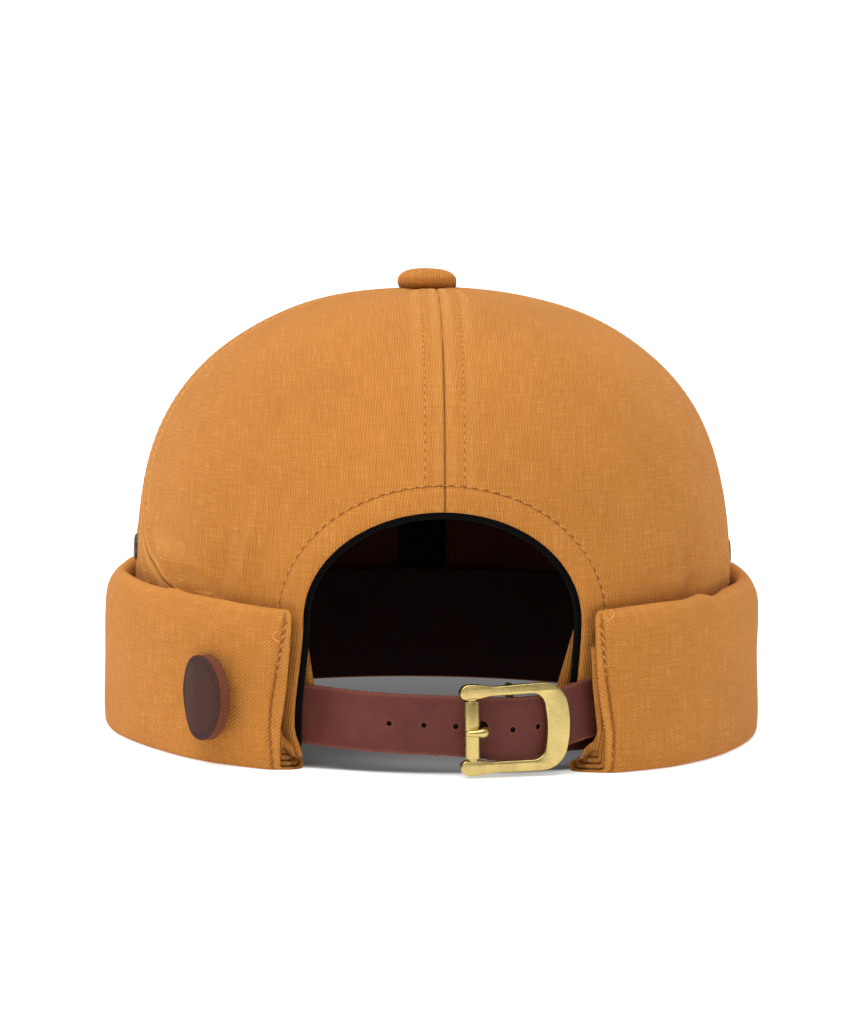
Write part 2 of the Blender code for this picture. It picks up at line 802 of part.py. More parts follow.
def make_short_strap(place, material):
    """The fixed strap: from inside the right hem, round the middle bar and back."""
    height = strap_height_at(BUCKLE_ACROSS) - SHORT_STRAP_DROP
    middle = []
    for share in SHORT_STRAP_SEWN:
        middle.append(strap_point(share * ARCH_HALF_WIDTH, -SEWN_DEPTH, height))
    turn_radius = CENTRE_BAR_RADIUS + GAP + SHORT_STRAP_THICKNESS / 2
    up = height - BUCKLE_HEIGHT
    local = [(along, CENTRE_BAR_OUT - turn_radius) for along in (0.0075, 0.0045, 0.0015)]
    for k in range(9):
        turned = math.pi * (1.5 - k / 8)
        local.append(
            (
                turn_radius * math.cos(turned),
                CENTRE_BAR_OUT + turn_radius * math.sin(turned),
            )
        )
    lap = CENTRE_BAR_OUT - turn_radius + SHORT_STRAP_THICKNESS + GAP
    top = CENTRE_BAR_OUT + turn_radius
    local += [(0.0014, top), (0.0036, (2 * top + lap) / 3), (0.0064, lap), (0.0110, lap)]
    middle += [place @ Vector((along, up, out)) for along, out in local]
    obj = strap(
        "short_strap",
        smooth_through(middle, 2),
        SHORT_STRAP_WIDTH,
        SHORT_STRAP_THICKNESS,
        place.col[1].xyz,
        material,
    )
    hook = CENTRE_BAR_RADIUS + GAP + 2 * PRONG_RADIUS + GAP
    slot = box(
        "prong_slot",
        (-2 * hook, up - PRONG_SLOT_WIDTH / 2, CENTRE_BAR_OUT - 2 * hook),
        (hook, up + PRONG_SLOT_WIDTH / 2, CENTRE_BAR_OUT + 2 * hook),
        material,
    )
    slot.matrix_world = place
    boolean(obj, slot, "DIFFERENCE")


def box(name, low, high, material):
    """A block between two corners."""
    corners = [(low[0], low[1]), (high[0], low[1]), (high[0], high[1]), (low[0], high[1])]
    rings = [[Vector((x, y, z)) for x, y in corners] for z in (low[2], high[2])]
    return loft(name, rings, material)


def rounded(outline, steps):
    """The points of an outline of (x, y, radius) corners, each corner made an arc."""
    points = []
    for k, (x, y, radius) in enumerate(outline):
        corner = Vector((x, y))
        back = (Vector(outline[k - 1][:2]) - corner).normalized()
        ahead = (Vector(outline[(k + 1) % len(outline)][:2]) - corner).normalized()
        half = back.angle(ahead) / 2
        centre = corner + (back + ahead).normalized() * radius / math.sin(half)
        first = corner + back * radius / math.tan(half) - centre
        last = corner + ahead * radius / math.tan(half) - centre
        sweep = math.remainder(
            math.atan2(last.y, last.x) - math.atan2(first.y, first.x), math.tau
        )
        for step in range(steps + 1):
            turn = Matrix.Rotation(sweep * step / steps, 2)
            points.append(centre + turn @ first)
    return points


def make_buckle(place, material):
    """The buckle's three pieces, hung on one empty that lies along the strap."""
    seat = bpy.data.objects.new("buckle_place", None)
    seat.matrix_world = place
    bpy.context.scene.collection.objects.link(seat)

    corners = []
    for share, up, radius in FRAME_OUTLINE:
        corners.append((share * FRAME_HALF_LONG, up, radius * FRAME_HALF_TALL))
    outline = rounded(corners, 4)
    rings = []
    for out in (FRAME_OUT, FRAME_OUT + FRAME_THICKNESS):
        rings.append([Vector((p.x, p.y, out)) for p in outline])
    frame = loft("buckle_frame", rings, material)
    bevel = frame.modifiers.new("soft edges", "BEVEL")
    bevel.width = FRAME_BEVEL
    bevel.segments = 2
    bevel.limit_method = "ANGLE"
    bevel.angle_limit = math.radians(50)

    rail = (RAIL_INNER + FRAME_HALF_TALL) / 2
    frame_middle = FRAME_OUT + FRAME_THICKNESS / 2
    shapes = [
        rod(
            "toe_bar",
            Vector((TOE_BAR_U, -rail, frame_middle)),
            Vector((TOE_BAR_U, rail, frame_middle)),
            TOE_BAR_RADIUS * 0.75,
            material,
        ),
        rod(
            "centre_bar",
            Vector((0, -rail, CENTRE_BAR_OUT)),
            Vector((0, rail, CENTRE_BAR_OUT)),
            CENTRE_BAR_RADIUS,
            material,
        ),
    ]
    for name, side in (("upper_post", 1), ("lower_post", -1)):
        near = side * (RAIL_INNER + GAP)
        far = side * (FRAME_HALF_TALL - 2 * FRAME_BEVEL)
        shapes.append(
            box(
                name,
                (-POST_HALF_WIDTH, min(near, far), CENTRE_BAR_OUT - POST_HALF_WIDTH),
                (POST_HALF_WIDTH, max(near, far), frame_middle),
                material,
            )
        )
    for shape in shapes:
        shape.parent = seat
        boolean(frame, shape, "UNION")

    half_roller = RAIL_INNER - GAP
    roller_profile = (
        (ROLLER_RADIUS * 0.94, half_roller),
        (ROLLER_RADIUS, half_roller * 0.96),
        (ROLLER_RADIUS, -half_roller * 0.96),
        (ROLLER_RADIUS * 0.94, -half_roller),
        (TOE_BAR_RADIUS + GAP, -half_roller),
        (TOE_BAR_RADIUS + GAP, half_roller),
    )
    roller = lathe("buckle_roller", roller_profile, True, material)
    roller.location = (TOE_BAR_U, 0, frame_middle)
    roller.rotation_euler = (math.pi / 2, 0, 0)

    prong = make_prong(material)
    prong.location = (0, strap_height_at(BUCKLE_ACROSS) - BUCKLE_HEIGHT, 0)
    for piece in (frame, roller, prong):
        piece.parent = seat


def make_prong(material):
    """The prong: hooked round the middle bar, up through the strap, over the roller."""
    hook_radius = CENTRE_BAR_RADIUS + GAP + PRONG_RADIUS
    hook = []
    for k in range(9):
        turned = math.radians(-130 + 220 * k / 8)
        hook.append(
            Vector(
                (
                    hook_radius * math.cos(turned),
                    CENTRE_BAR_OUT + hook_radius * math.sin(turned),
                    PRONG_RADIUS,
                )
            )
        )
    over = []
    for along, out, radius in PRONG_ROUTE:
        row = (along * TOE_BAR_U, out * ROLLER_REACH, radius * PRONG_RADIUS)
        over.append(Vector(row))
    route = smooth_through(hook + over, 2)
    rings = []
    for k, (along, out, radius) in enumerate(route):
        after = route[min(k + 1, len(route) - 1)]
        before = route[max(k - 1, 0)]
        way = Vector((after[0] - before[0], after[1] - before[1])).normalized()
        ring = []
        for side in range(PRONG_SIDES):
            turned = math.tau * side / PRONG_SIDES
            across = radius * math.cos(turned)
            ring.append(
                Vector(
                    (
                        along - way.y * across,
                        radius * math.sin(turned),
                        out + way.x * across,
                    )
                )
            )
        rings.append(ring)
    return loft("buckle_prong", rings, material)


def main():
    clear_scene()
    cloth = make_material("cloth", (0.62, 0.25, 0.055), 0.9)
    tape = make_material("tape", (0.012, 0.012, 0.013), 0.95)
    leather = make_material("leather", (0.13, 0.030, 0.022), 0.55)
    patch_leather = make_material("patch_leather", (0.090, 0.036, 0.026), 0.65)
    brass = make_material("brass", (0.62, 0.44, 0.17), 0.35, 1.0)
    aged_brass = make_material("aged_brass", (0.10, 0.075, 0.050), 0.45, 1.0)

    back_panel("back_left_panel", -1, cloth)
    back_panel("back_right_panel", 1, cloth)
    fronts = {
        -1: front_panel("front_left_panel", -1, cloth),
        1: front_panel("front_right_panel", 1, cloth),
    }
    make_button(cloth)
    arch_strip("arch_hem", 0, HEM_WIDTH, HEM_PROUD, HEM_THICKNESS, cloth)
    arch_strip(
        "arch_tape",
        -ARCH_TAPE_PEEK,
        ARCH_TAPE_WIDTH - ARCH_TAPE_PEEK,
        HEM_PROUD - HEM_THICKNESS - GAP,
        TAPE_THICKNESS,
        tape,
    )
    make_sweatband(leather)
    make_tab("left_tab", -1, cloth)
    make_tab("right_tab", 1, cloth)
    make_seam_tapes(tape)
    make_cuff(cloth)
    make_patch(patch_leather)
    make_eyelets(fronts, aged_brass)

    place = buckle_frame_of_reference()
    make_long_strap(place, leather)
    make_short_strap(place, leather)
    make_buckle(place, brass)


main()
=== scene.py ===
# %% [markdown]
# # A brimless cap, dressed
#
# The cap's construction comes in as a fixed frame of plain solids. This lesson gives it its
# looks: cloth that is sewn, pressed and creased, leather that is cut and punched, cast brass,
# and the soft light of a product photograph. Every length is in metres, +Z is up, and the
# opening at the back faces -Y, towards the camera.

# %% Load the frame
import math

import bpy
from mathutils import Matrix, Vector, noise


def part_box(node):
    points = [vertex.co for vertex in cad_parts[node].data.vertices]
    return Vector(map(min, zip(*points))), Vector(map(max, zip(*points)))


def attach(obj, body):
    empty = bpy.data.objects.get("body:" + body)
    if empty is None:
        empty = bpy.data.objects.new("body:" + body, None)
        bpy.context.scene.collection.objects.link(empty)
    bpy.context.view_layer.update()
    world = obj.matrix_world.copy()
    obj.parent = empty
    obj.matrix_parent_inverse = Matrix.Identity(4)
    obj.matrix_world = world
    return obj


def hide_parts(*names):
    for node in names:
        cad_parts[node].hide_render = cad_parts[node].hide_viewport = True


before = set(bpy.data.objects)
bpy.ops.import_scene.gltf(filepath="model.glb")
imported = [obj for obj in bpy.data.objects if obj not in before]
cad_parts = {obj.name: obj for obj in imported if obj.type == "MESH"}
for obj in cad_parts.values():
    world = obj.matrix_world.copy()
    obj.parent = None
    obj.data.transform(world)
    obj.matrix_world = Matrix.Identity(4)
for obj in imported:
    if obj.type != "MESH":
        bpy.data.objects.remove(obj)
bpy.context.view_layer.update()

print(len(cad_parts), "solids in the frame")

# %% [markdown]
# ## Sizes read from the frame
#
# The looks have to sit exactly on the construction, so the crown's size is read from its
# panels. What the boxes can't tell, such as where the dome starts, is given here by name.

# %% Sizes of the crown
panel_low, panel_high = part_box("front_right_panel")
CROWN_HALF_WIDTH = panel_high.x
CROWN_HALF_DEPTH = 0.1000
CENTRE_Y = panel_high.y - CROWN_HALF_DEPTH
CROWN_HEIGHT = panel_high.z
CROWN_EDGE = panel_low.z
DOME_START = 0.0422
RISE_POWER = 2.5
ROUND_POWER = 2.4
CLOTH = 0.0012
TIP_RADIUS = 0.0046

SIDE_SEAM_TOP = math.radians(86)
SIDE_SEAM_SWING = {-1: math.radians(32), 1: math.radians(17)}
SIDE_SEAM_DROP = 0.0160

ARCH_HALF_WIDTH = 0.0375
ARCH_SPRING = 0.0405
ARCH_TOP = 0.0704
HEM_STITCH = 0.0070
ARCH_FLARE = {-1: 0.0021, 1: -0.0016}

print("crown", round(CROWN_HALF_WIDTH, 4), round(CROWN_HEIGHT, 4))

# %% [markdown]
# ## The crown's surface
#
# A cap's crown is an upright wall that turns over into a dome. Both are one formula here: an
# oval whose size shrinks with height, slowly at first and then quickly. Every piece of cloth
# on the crown is laid on this surface, so they all agree.


# %% The crown as a formula
def dome_share(height):
    """The oval's size at a height, as a share of its size at the wall."""
    rise = (height - DOME_START) / (CROWN_HEIGHT - DOME_START)
    rise = min(max(rise, 0.0), 1.0)
    return (1 - rise**RISE_POWER) ** (1 / ROUND_POWER)


def crown_point(angle, height, out):
    """A point square to the crown's face. The angle starts at the back and goes to +X."""
    step = 1e-5
    share = dome_share(height)
    x = CROWN_HALF_WIDTH * share * math.sin(angle)
    y = -CROWN_HALF_DEPTH * share * math.cos(angle)
    slope = (dome_share(height + step) - dome_share(height - step)) / (2 * step)
    normal = Vector((x / CROWN_HALF_WIDTH**2, y / CROWN_HALF_DEPTH**2, -share * slope))
    return Vector((x, y + CENTRE_Y, height)) + normal.normalized() * out


def wall_point(angle, height, out):
    """A point beside the crown's upright wall, which the cuff and the straps follow."""
    x = CROWN_HALF_WIDTH * math.sin(angle)
    y = -CROWN_HALF_DEPTH * math.cos(angle)
    normal = Vector((x / CROWN_HALF_WIDTH**2, y / CROWN_HALF_DEPTH**2, 0)).normalized()
    return Vector((x, y + CENTRE_Y, height)) + normal * out


def crown_normal(angle, height):
    """The direction straight out of the crown's face."""
    return (crown_point(angle, height, 1) - crown_point(angle, height, 0)).normalized()


def wall_normal(angle):
    """The direction straight out of the upright wall."""
    return (wall_point(angle, 0, 1) - wall_point(angle, 0, 0)).normalized()


def arc_radius(angle):
    """Length round the wall for each radian."""
    return math.hypot(CROWN_HALF_WIDTH * math.cos(angle), CROWN_HALF_DEPTH * math.sin(angle))


def angle_across(x, height):
    """The angle of the crown's point that is seen from straight behind at x and a height."""
    return math.asin(x / (CROWN_HALF_WIDTH * dome_share(height)))


wall_length = sum(arc_radius(math.radians(turn)) for turn in range(360)) * math.tau / 360
print("the wall is", round(wall_length, 3), "m round")


# %% Seams and lengths
def side_seam(height, side):
    """How far round a side seam is at a height. The left one swings further back."""
    above = max(height - DOME_START, 0.0)
    return SIDE_SEAM_TOP - SIDE_SEAM_SWING[side] * math.exp(-above / SIDE_SEAM_DROP)


def profile_table(steps):
    """Heights from the crown's edge to its tip, and the length along the cloth to each."""
    last = math.acos((TIP_RADIUS / CROWN_HALF_WIDTH) ** (ROUND_POWER / 2))
    heights = [CROWN_EDGE + (DOME_START - CROWN_EDGE) * k / steps for k in range(steps)]
    for k in range(3 * steps + 1):
        rise = math.sin(last * k / (3 * steps)) ** (2 / RISE_POWER)
        heights.append(DOME_START + (CROWN_HEIGHT - DOME_START) * rise)
    lengths = [0.0]
    for low, high in zip(heights, heights[1:]):
        width = CROWN_HALF_WIDTH * (dome_share(low) - dome_share(high))
        lengths.append(lengths[-1] + math.hypot(width, high - low))
    return heights, lengths


PROFILE_HEIGHTS, PROFILE_LENGTHS = profile_table(60)


def interpolate(xs, ys, x):
    """The value of a rising table at x."""
    x = min(max(x, xs[0]), xs[-1])
    low, high = 0, len(xs) - 1
    while high - low > 1:
        middle = (low + high) // 2
        if xs[middle] <= x:
            low = middle
        else:
            high = middle
    share = (x - xs[low]) / (xs[high] - xs[low])
    return ys[low] + (ys[high] - ys[low]) * share


def length_up(height):
    """How far along the cloth a height is from the crown's edge."""
    return interpolate(PROFILE_HEIGHTS, PROFILE_LENGTHS, height)


def height_at(length):
    """The height at a length along the cloth."""
    return interpolate(PROFILE_LENGTHS, PROFILE_HEIGHTS, length)


CLOTH_LENGTH = PROFILE_LENGTHS[-1]
print("cloth from edge to tip", round(CLOTH_LENGTH, 4))

# %% [markdown]
# ## Relief of the sewn cloth
#
# A seam isn't a line drawn on the cloth. The two panels dip into it, the folded edges behind
# raise a low band on each side, and each row of topstitching pulls the cloth down and puckers
# it a little between stitches. Below, the cloth creases softly where the cuff presses on it.
# This relief is worked out for each point, because a bump map alone wouldn't change the
# outline or catch the light at the seams.

# %% Relief
SEAM_ROW = 0.0053
STITCH_PITCH = 0.0025


def smooth(low, high, value):
    """0 below low, 1 above high, and an eased step between."""
    share = min(max((value - low) / (high - low), 0.0), 1.0)
    return share * share * (3 - 2 * share)


def bell(value, width):
    """1 at zero, falling off over a width."""
    return math.exp(-((value / width) ** 2))


def seam_relief(distance, along):
    """Height of the cloth near a seam, by distance from it and place along it."""
    off = abs(distance)
    if off > 0.009:
        return 0.0
    valley = -0.00032 * bell(off, 0.00035)
    band = 0.00032 * (1 - smooth(0.0050, 0.0072, off))
    pull = 0.60 + 0.40 * math.cos(math.tau * along / STITCH_PITCH)
    return valley + band - 0.00026 * bell(off - SEAM_ROW, 0.0006) * pull


def seam_distance(angle, height, seam, tilt):
    """Distance over the cloth from a seam, for a seam that may run aslant."""
    turn = math.remainder(angle - seam(height), math.tau)
    reach = arc_radius(angle) * dome_share(height)
    if abs(turn * reach) > 0.03:
        return 1.0
    step = 0.0005
    slant = (seam(height + step) - seam(height - step)) / (2 * step) * reach if tilt else 0.0
    return turn * reach / math.hypot(1, slant)


print("beside a seam the cloth stands", round(1000 * seam_relief(0.003, 0), 2), "mm proud")

# %% Seams and creases
SEAMS = (
    # (seam's angle at a height, whether it runs aslant)
    (lambda height: 0.0, False),
    (lambda height: math.pi, False),
    (lambda height: side_seam(height, 1), True),
    (lambda height: -side_seam(height, -1), True),
)

# Soft creases: where round the crown, how high, how far they lean, length, width and depth
CREASES = (
    # (angle in degrees, height, lean, length, width, depth)
    (-33, 0.058, 0.30, 0.016, 0.0030, 0.0006),
    (-38, 0.055, 0.22, 0.014, 0.0018, -0.0011),
    (-44, 0.052, 0.20, 0.011, 0.0026, 0.0018),
    (-50, 0.055, 0.16, 0.013, 0.0019, -0.0011),
    (-58, 0.056, 0.10, 0.016, 0.0034, 0.0009),
    (-66, 0.062, -0.10, 0.022, 0.0040, 0.0008),
    (40, 0.056, -0.25, 0.016, 0.0036, 0.0006),
    (47, 0.053, -0.20, 0.013, 0.0019, -0.0011),
    (53, 0.052, -0.20, 0.012, 0.0030, 0.0017),
    (60, 0.058, -0.15, 0.018, 0.0030, -0.0006),
    (68, 0.060, 0.10, 0.018, 0.0034, 0.0008),
    (110, 0.056, 0.20, 0.020, 0.0050, 0.0009),
    (150, 0.054, -0.15, 0.018, 0.0050, 0.0008),
    (-120, 0.056, -0.20, 0.020, 0.0050, 0.0009),
    (-160, 0.055, 0.10, 0.018, 0.0055, 0.0008),
)


print(len(CREASES), "creases")


# %% Relief at a point
def crease_relief(angle, height):
    """The soft creases above the cuff."""
    total = 0.0
    for degrees, middle, lean, length, width, depth in CREASES:
        up = height - middle
        if abs(up) > 2 * length:
            continue
        across = math.remainder(angle - math.radians(degrees), math.tau)
        across = across * arc_radius(angle) - lean * up
        if abs(across) < 3 * width:
            total -= depth * bell(across, width) * bell(up, length)
    return total


def slack(angle, height):
    """The slow unevenness of cloth that nothing stretches."""
    point = crown_point(angle, height, 0) * 28
    return 0.0008 * noise.noise(point) * smooth(0, 0.06, height)


def crown_relief(angle, height):
    """All of the crown cloth's relief, and how deep a point lies in a seam's shadow."""
    total = crease_relief(angle, height) + slack(angle, height)
    up = length_up(height)
    shadow = 0.0
    rub_and_shade = 0.0
    for seam, tilt in SEAMS:
        off = seam_distance(angle, height, seam, tilt)
        if abs(off) < 0.009:
            total += seam_relief(off, up)
            faint = 1 - 0.6 * smooth(0.108, 0.120, height)
            # Painted shade: dark in the seam's valley, fainter higher up, and faint along the rows of
            # stitches.
            shadow = max(shadow, faint * bell(off, 0.00022), 0.14 * bell(abs(off) - SEAM_ROW, 0.0005))
            rub_and_shade = max(rub_and_shade, bell(abs(off) - 0.0016, 0.0009), bell(abs(off) - 0.0066, 0.0008))
    return total, rub_and_shade - 2 * shadow


print("relief beside the back seam", round(1000 * crown_relief(0.05, 0.09)[0], 2), "mm")

# %% [markdown]
# ## Cloth starts flat
#
# Every cloth piece starts as a flat grid, as the real one starts as a flat cut, and each point
# of the grid is then carried to its place on the form. The grid also gets a UV map in metres,
# measured over the cloth, so that the weave keeps its size and isn't pinched towards the top,
# and a value for each point: above 0 it says how rubbed the point is, below 0 how deep it lies
# in painted shade.


# %% Selecting and naming
def deselect():
    """Nothing selected, and no mode but object mode."""
    if bpy.context.object and bpy.context.object.mode != "OBJECT":
        bpy.ops.object.mode_set(mode="OBJECT")
    bpy.ops.object.select_all(action="DESELECT")


def pick(piece):
    """Selects one piece alone and makes it active."""
    deselect()
    piece.select_set(True)
    bpy.context.view_layer.objects.active = piece


def rename(piece, name):
    """Gives a piece and its mesh their name."""
    piece.name = name
    piece.data.name = name
    return piece


print("selecting starts from nothing selected")


# %% A laid grid
def set_uv(piece, places):
    """Lays each point of a piece at its place on the flat cloth."""
    layer = piece.data.uv_layers.active.data
    for loop in piece.data.loops:
        layer[loop.index].uv = places[loop.vertex_index]


def laid_grid(name, across, up, place):
    """A flat grid, each point carried by place(column, row) to a point, a UV, and a value: rubbed above
    0, painted shade below 0.
    """
    deselect()
    bpy.ops.mesh.primitive_grid_add(x_subdivisions=across, y_subdivisions=up, size=1)
    piece = rename(bpy.context.object, name)
    found = []
    for vertex in piece.data.vertices:
        column = round((vertex.co.x + 0.5) * across)
        row = round((vertex.co.y + 0.5) * up)
        found.append(place(column, row))
    wear_and_shade = piece.data.attributes.new("wear_and_shade", "FLOAT", "POINT")
    for vertex, (point, uv, rub_and_shade) in zip(piece.data.vertices, found):
        vertex.co = point
        wear_and_shade.data[vertex.index].value = rub_and_shade
    set_uv(piece, [uv for _, uv, _ in found])
    return piece


print("a grid takes a place for each of its points")


# %% Thickness, cuts and merging
def apply_modifiers(piece):
    """Applies all of a piece's modifiers in order."""
    pick(piece)
    for modifier in list(piece.modifiers):
        bpy.ops.object.modifier_apply(modifier=modifier.name)


def thicken(piece, thickness, faces=()):
    """Gives a laid grid its cloth's thickness, and outer and inner materials if it has them."""
    for material in faces:
        piece.data.materials.append(material)
    modifier = piece.modifiers.new("thickness", "SOLIDIFY")
    modifier.thickness = thickness
    modifier.offset = -1
    modifier.material_offset = len(faces) - 1 if faces else 0
    apply_modifiers(piece)


def cut_across(places, facing=(0, 0, 1)):
    """Cuts the mesh that is being edited with a plane through each place."""
    for place in places:
        bpy.ops.mesh.select_all(action="SELECT")
        bpy.ops.mesh.bisect(plane_co=place, plane_no=facing)


def merge(piece, distance=1e-6):
    """Joins points that lie on each other and turns all faces outwards."""
    pick(piece)
    bpy.ops.object.mode_set(mode="EDIT")
    bpy.ops.mesh.select_all(action="SELECT")
    bpy.ops.mesh.remove_doubles(threshold=distance)
    bpy.ops.mesh.normals_make_consistent(inside=False)
    bpy.ops.object.mode_set(mode="OBJECT")


print("cloth is thickened inwards")


# %% Finishing a piece
def shade(piece, degrees=45):
    """Smooth shading, with edges kept where the surface turns sharply."""
    pick(piece)
    bpy.ops.object.shade_smooth_by_angle(angle=math.radians(degrees))


def join(name, pieces):
    """Makes one piece of several."""
    deselect()
    for piece in pieces:
        piece.select_set(True)
    bpy.context.view_layer.objects.active = pieces[0]
    bpy.ops.object.join()
    return rename(pieces[0], name)


def dress(piece, material, slot, *nodes):
    """Finishes a piece: its material, its body, and the solids that it stands for."""
    if not piece.data.materials:
        piece.data.materials.append(material)
    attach(piece, "root")
    if nodes:
        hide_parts(*nodes)


print("every piece rides on root, because the cap has no joint")

# %% [markdown]
# ## Node groups that the finishes share
#
# A weave, the blotches of a dye, the grain of leather and the marks of cast brass are each
# needed in several materials. They could be copied into each one, but a change would then have
# to be made in every copy, so each is a shader node group with its own inputs. A group gives
# only heights and masks: the shader and its constants stay in the material.


# %% Node helpers
def new_group(name, inputs, outputs):
    """A shader node group with float or vector inputs and float outputs."""
    group = bpy.data.node_groups.new(name, "ShaderNodeTree")
    for label, kind, value in inputs:
        socket = group.interface.new_socket(label, in_out="INPUT", socket_type=kind)
        if value is not None:
            socket.default_value = value
    for label in outputs:
        group.interface.new_socket(label, in_out="OUTPUT", socket_type="NodeSocketFloat")
    start = group.nodes.new("NodeGroupInput")
    end = group.nodes.new("NodeGroupOutput")
    return group, start.outputs, end.inputs


def put(nodes, target, value):
    """Links a socket to an input, or sets the input to a plain value."""
    if isinstance(value, bpy.types.NodeSocket):
        nodes.id_data.links.new(value, target)
    elif value is not None:
        target.default_value = value


print("a group's sockets are made through its interface")


# %% Values and patterns
def maths(nodes, operation, first, second=None, third=None):
    """A Math node."""
    node = nodes.new("ShaderNodeMath")
    node.operation = operation
    for target, value in zip(node.inputs, (first, second, third)):
        put(nodes, target, value)
    return node.outputs[0]


def noise_at(nodes, vector, scale, detail=3.0, roughness=0.5):
    """A Noise texture's value."""
    node = nodes.new("ShaderNodeTexNoise")
    put(nodes, node.inputs["Vector"], vector)
    put(nodes, node.inputs["Scale"], scale)
    put(nodes, node.inputs["Detail"], detail)
    put(nodes, node.inputs["Roughness"], roughness)
    return node.outputs["Fac"]


def stretched(nodes, vector, x, y, z=1.0):
    """The vector with each part scaled, for patterns that run one way."""
    node = nodes.new("ShaderNodeVectorMath")
    node.operation = "MULTIPLY"
    put(nodes, node.inputs[0], vector)
    put(nodes, node.inputs[1], (x, y, z))
    return node.outputs[0]


print("a pattern is stretched by scaling its coordinates")


# %% Ramps and colours
def ramp(nodes, value, low, high, out_low=0.0, out_high=1.0):
    """A value stretched from one range to another and clamped."""
    node = nodes.new("ShaderNodeMapRange")
    put(nodes, node.inputs["Value"], value)
    put(nodes, node.inputs["From Min"], low)
    put(nodes, node.inputs["From Max"], high)
    put(nodes, node.inputs["To Min"], out_low)
    put(nodes, node.inputs["To Max"], out_high)
    return node.outputs["Result"]


def blend(nodes, share, first, second):
    """A colour between two."""
    node = nodes.new("ShaderNodeMix")
    node.data_type = "RGBA"
    put(nodes, node.inputs["Factor"], share)
    for socket, value in ((node.inputs[6], first), (node.inputs[7], second)):
        put(nodes, socket, (*value, 1) if isinstance(value, tuple) else value)
    return node.outputs[2]


def use_group(nodes, group, **inputs):
    """A group placed in a material, with some of its inputs set or linked."""
    node = nodes.new("ShaderNodeGroup")
    node.node_tree = group
    for label, value in inputs.items():
        put(nodes, node.inputs[label.replace("_", " ")], value)
    return node.outputs


print("a colour is blended from two by a mask")


# %% Weave group
def weave_group():
    """Twill: slanting ribs broken by the crossing yarns, with uneven yarns among them."""
    group, start, end = new_group(
        "twill weave",
        (
            ("Cloth", "NodeSocketVector", None),
            ("Pitch", "NodeSocketFloat", 0.00075),
            ("Lean", "NodeSocketFloat", 0.3),
        ),
        ("Height", "Yarn", "Slub"),
    )
    nodes = group.nodes
    parts = nodes.new("ShaderNodeSeparateXYZ")
    put(nodes, parts.inputs[0], start["Cloth"])
    x, y = parts.outputs[0], parts.outputs[1]
    wander = noise_at(nodes, stretched(nodes, start["Cloth"], 260, 260), 1.0, 2.0)
    wander = maths(nodes, "MULTIPLY", maths(nodes, "SUBTRACT", wander, 0.5), 0.0005)
    cosine = maths(nodes, "COSINE", start["Lean"])
    sine = maths(nodes, "SINE", start["Lean"])
    over = maths(nodes, "MULTIPLY_ADD", x, cosine, maths(nodes, "MULTIPLY", y, sine))
    over = maths(nodes, "ADD", over, wander)
    turns = maths(nodes, "MULTIPLY", maths(nodes, "DIVIDE", over, start["Pitch"]), math.tau)
    rib = maths(nodes, "MULTIPLY_ADD", maths(nodes, "SINE", turns), 0.5, 0.5)
    yarn = maths(nodes, "MULTIPLY", start["Pitch"], 0.62)
    rows = maths(nodes, "MULTIPLY", maths(nodes, "DIVIDE", y, yarn), math.tau)
    knuckle = maths(nodes, "MULTIPLY_ADD", maths(nodes, "SINE", rows), 0.5, 0.5)
    slub = noise_at(nodes, stretched(nodes, start["Cloth"], 130, 2400), 1.0, 2.0)
    warp = noise_at(nodes, stretched(nodes, start["Cloth"], 2100, 110), 1.0, 2.0)
    body = maths(nodes, "MULTIPLY_ADD", knuckle, 0.45, 0.55)
    height = maths(nodes, "MULTIPLY", rib, body)
    put(nodes, end["Height"], maths(nodes, "MULTIPLY_ADD", slub, 0.5, height))
    put(nodes, end["Yarn"], maths(nodes, "MULTIPLY", rib, body))
    put(nodes, end["Slub"], maths(nodes, "ADD", maths(nodes, "MULTIPLY", warp, 0.5),
                                  maths(nodes, "MULTIPLY", slub, 0.5)))
    return group


WEAVE = weave_group()
print("weave group with", len(WEAVE.nodes), "nodes")


# %% Dye, leather and casting groups
def dye_group():
    """Blotches of a dye that didn't take evenly."""
    group, start, end = new_group("garment dye", (("Place", "NodeSocketVector", None),), ("Blotch",))
    put(group.nodes, end["Blotch"], noise_at(group.nodes, start["Place"], 26.0, 4.0, 0.6))
    return group


def leather_group():
    """The grain of leather's face, its streaks and clouds, and the fibres of a cut edge."""
    group, start, end = new_group(
        "leather surface",
        (("Place", "NodeSocketVector", None), ("Grain Scale", "NodeSocketFloat", 1000.0)),
        ("Grain", "Streak", "Cloud", "Fibre"),
    )
    nodes = group.nodes
    place = start["Place"]
    cells = nodes.new("ShaderNodeTexVoronoi")
    cells.feature = "DISTANCE_TO_EDGE"
    put(nodes, cells.inputs["Vector"], place)
    put(nodes, cells.inputs["Scale"], start["Grain Scale"])
    put(nodes, end["Grain"], ramp(nodes, cells.outputs["Distance"], 0.0, 0.25))
    put(nodes, end["Streak"], noise_at(nodes, stretched(nodes, place, 60, 60, 900), 1.0, 3.0))
    put(nodes, end["Cloud"], noise_at(nodes, place, 90.0, 4.0, 0.6))
    put(nodes, end["Fibre"], noise_at(nodes, place, 2600.0, 3.0, 0.7))
    return group


def casting_group():
    """The clouds of tarnish, tumbling scratches and specks of cast brass."""
    group, start, end = new_group(
        "cast surface", (("Place", "NodeSocketVector", None),), ("Cloud", "Scratch", "Speck")
    )
    nodes = group.nodes
    place = start["Place"]
    put(nodes, end["Cloud"], noise_at(nodes, place, 220.0, 4.0, 0.65))
    put(nodes, end["Scratch"], noise_at(nodes, stretched(nodes, place, 500, 500, 4200), 1.0, 2.0))
    put(nodes, end["Speck"], noise_at(nodes, place, 2400.0, 2.0))
    return group


DYE = dye_group()
LEATHER = leather_group()
CASTING = casting_group()
print(len(bpy.data.node_groups), "node groups")

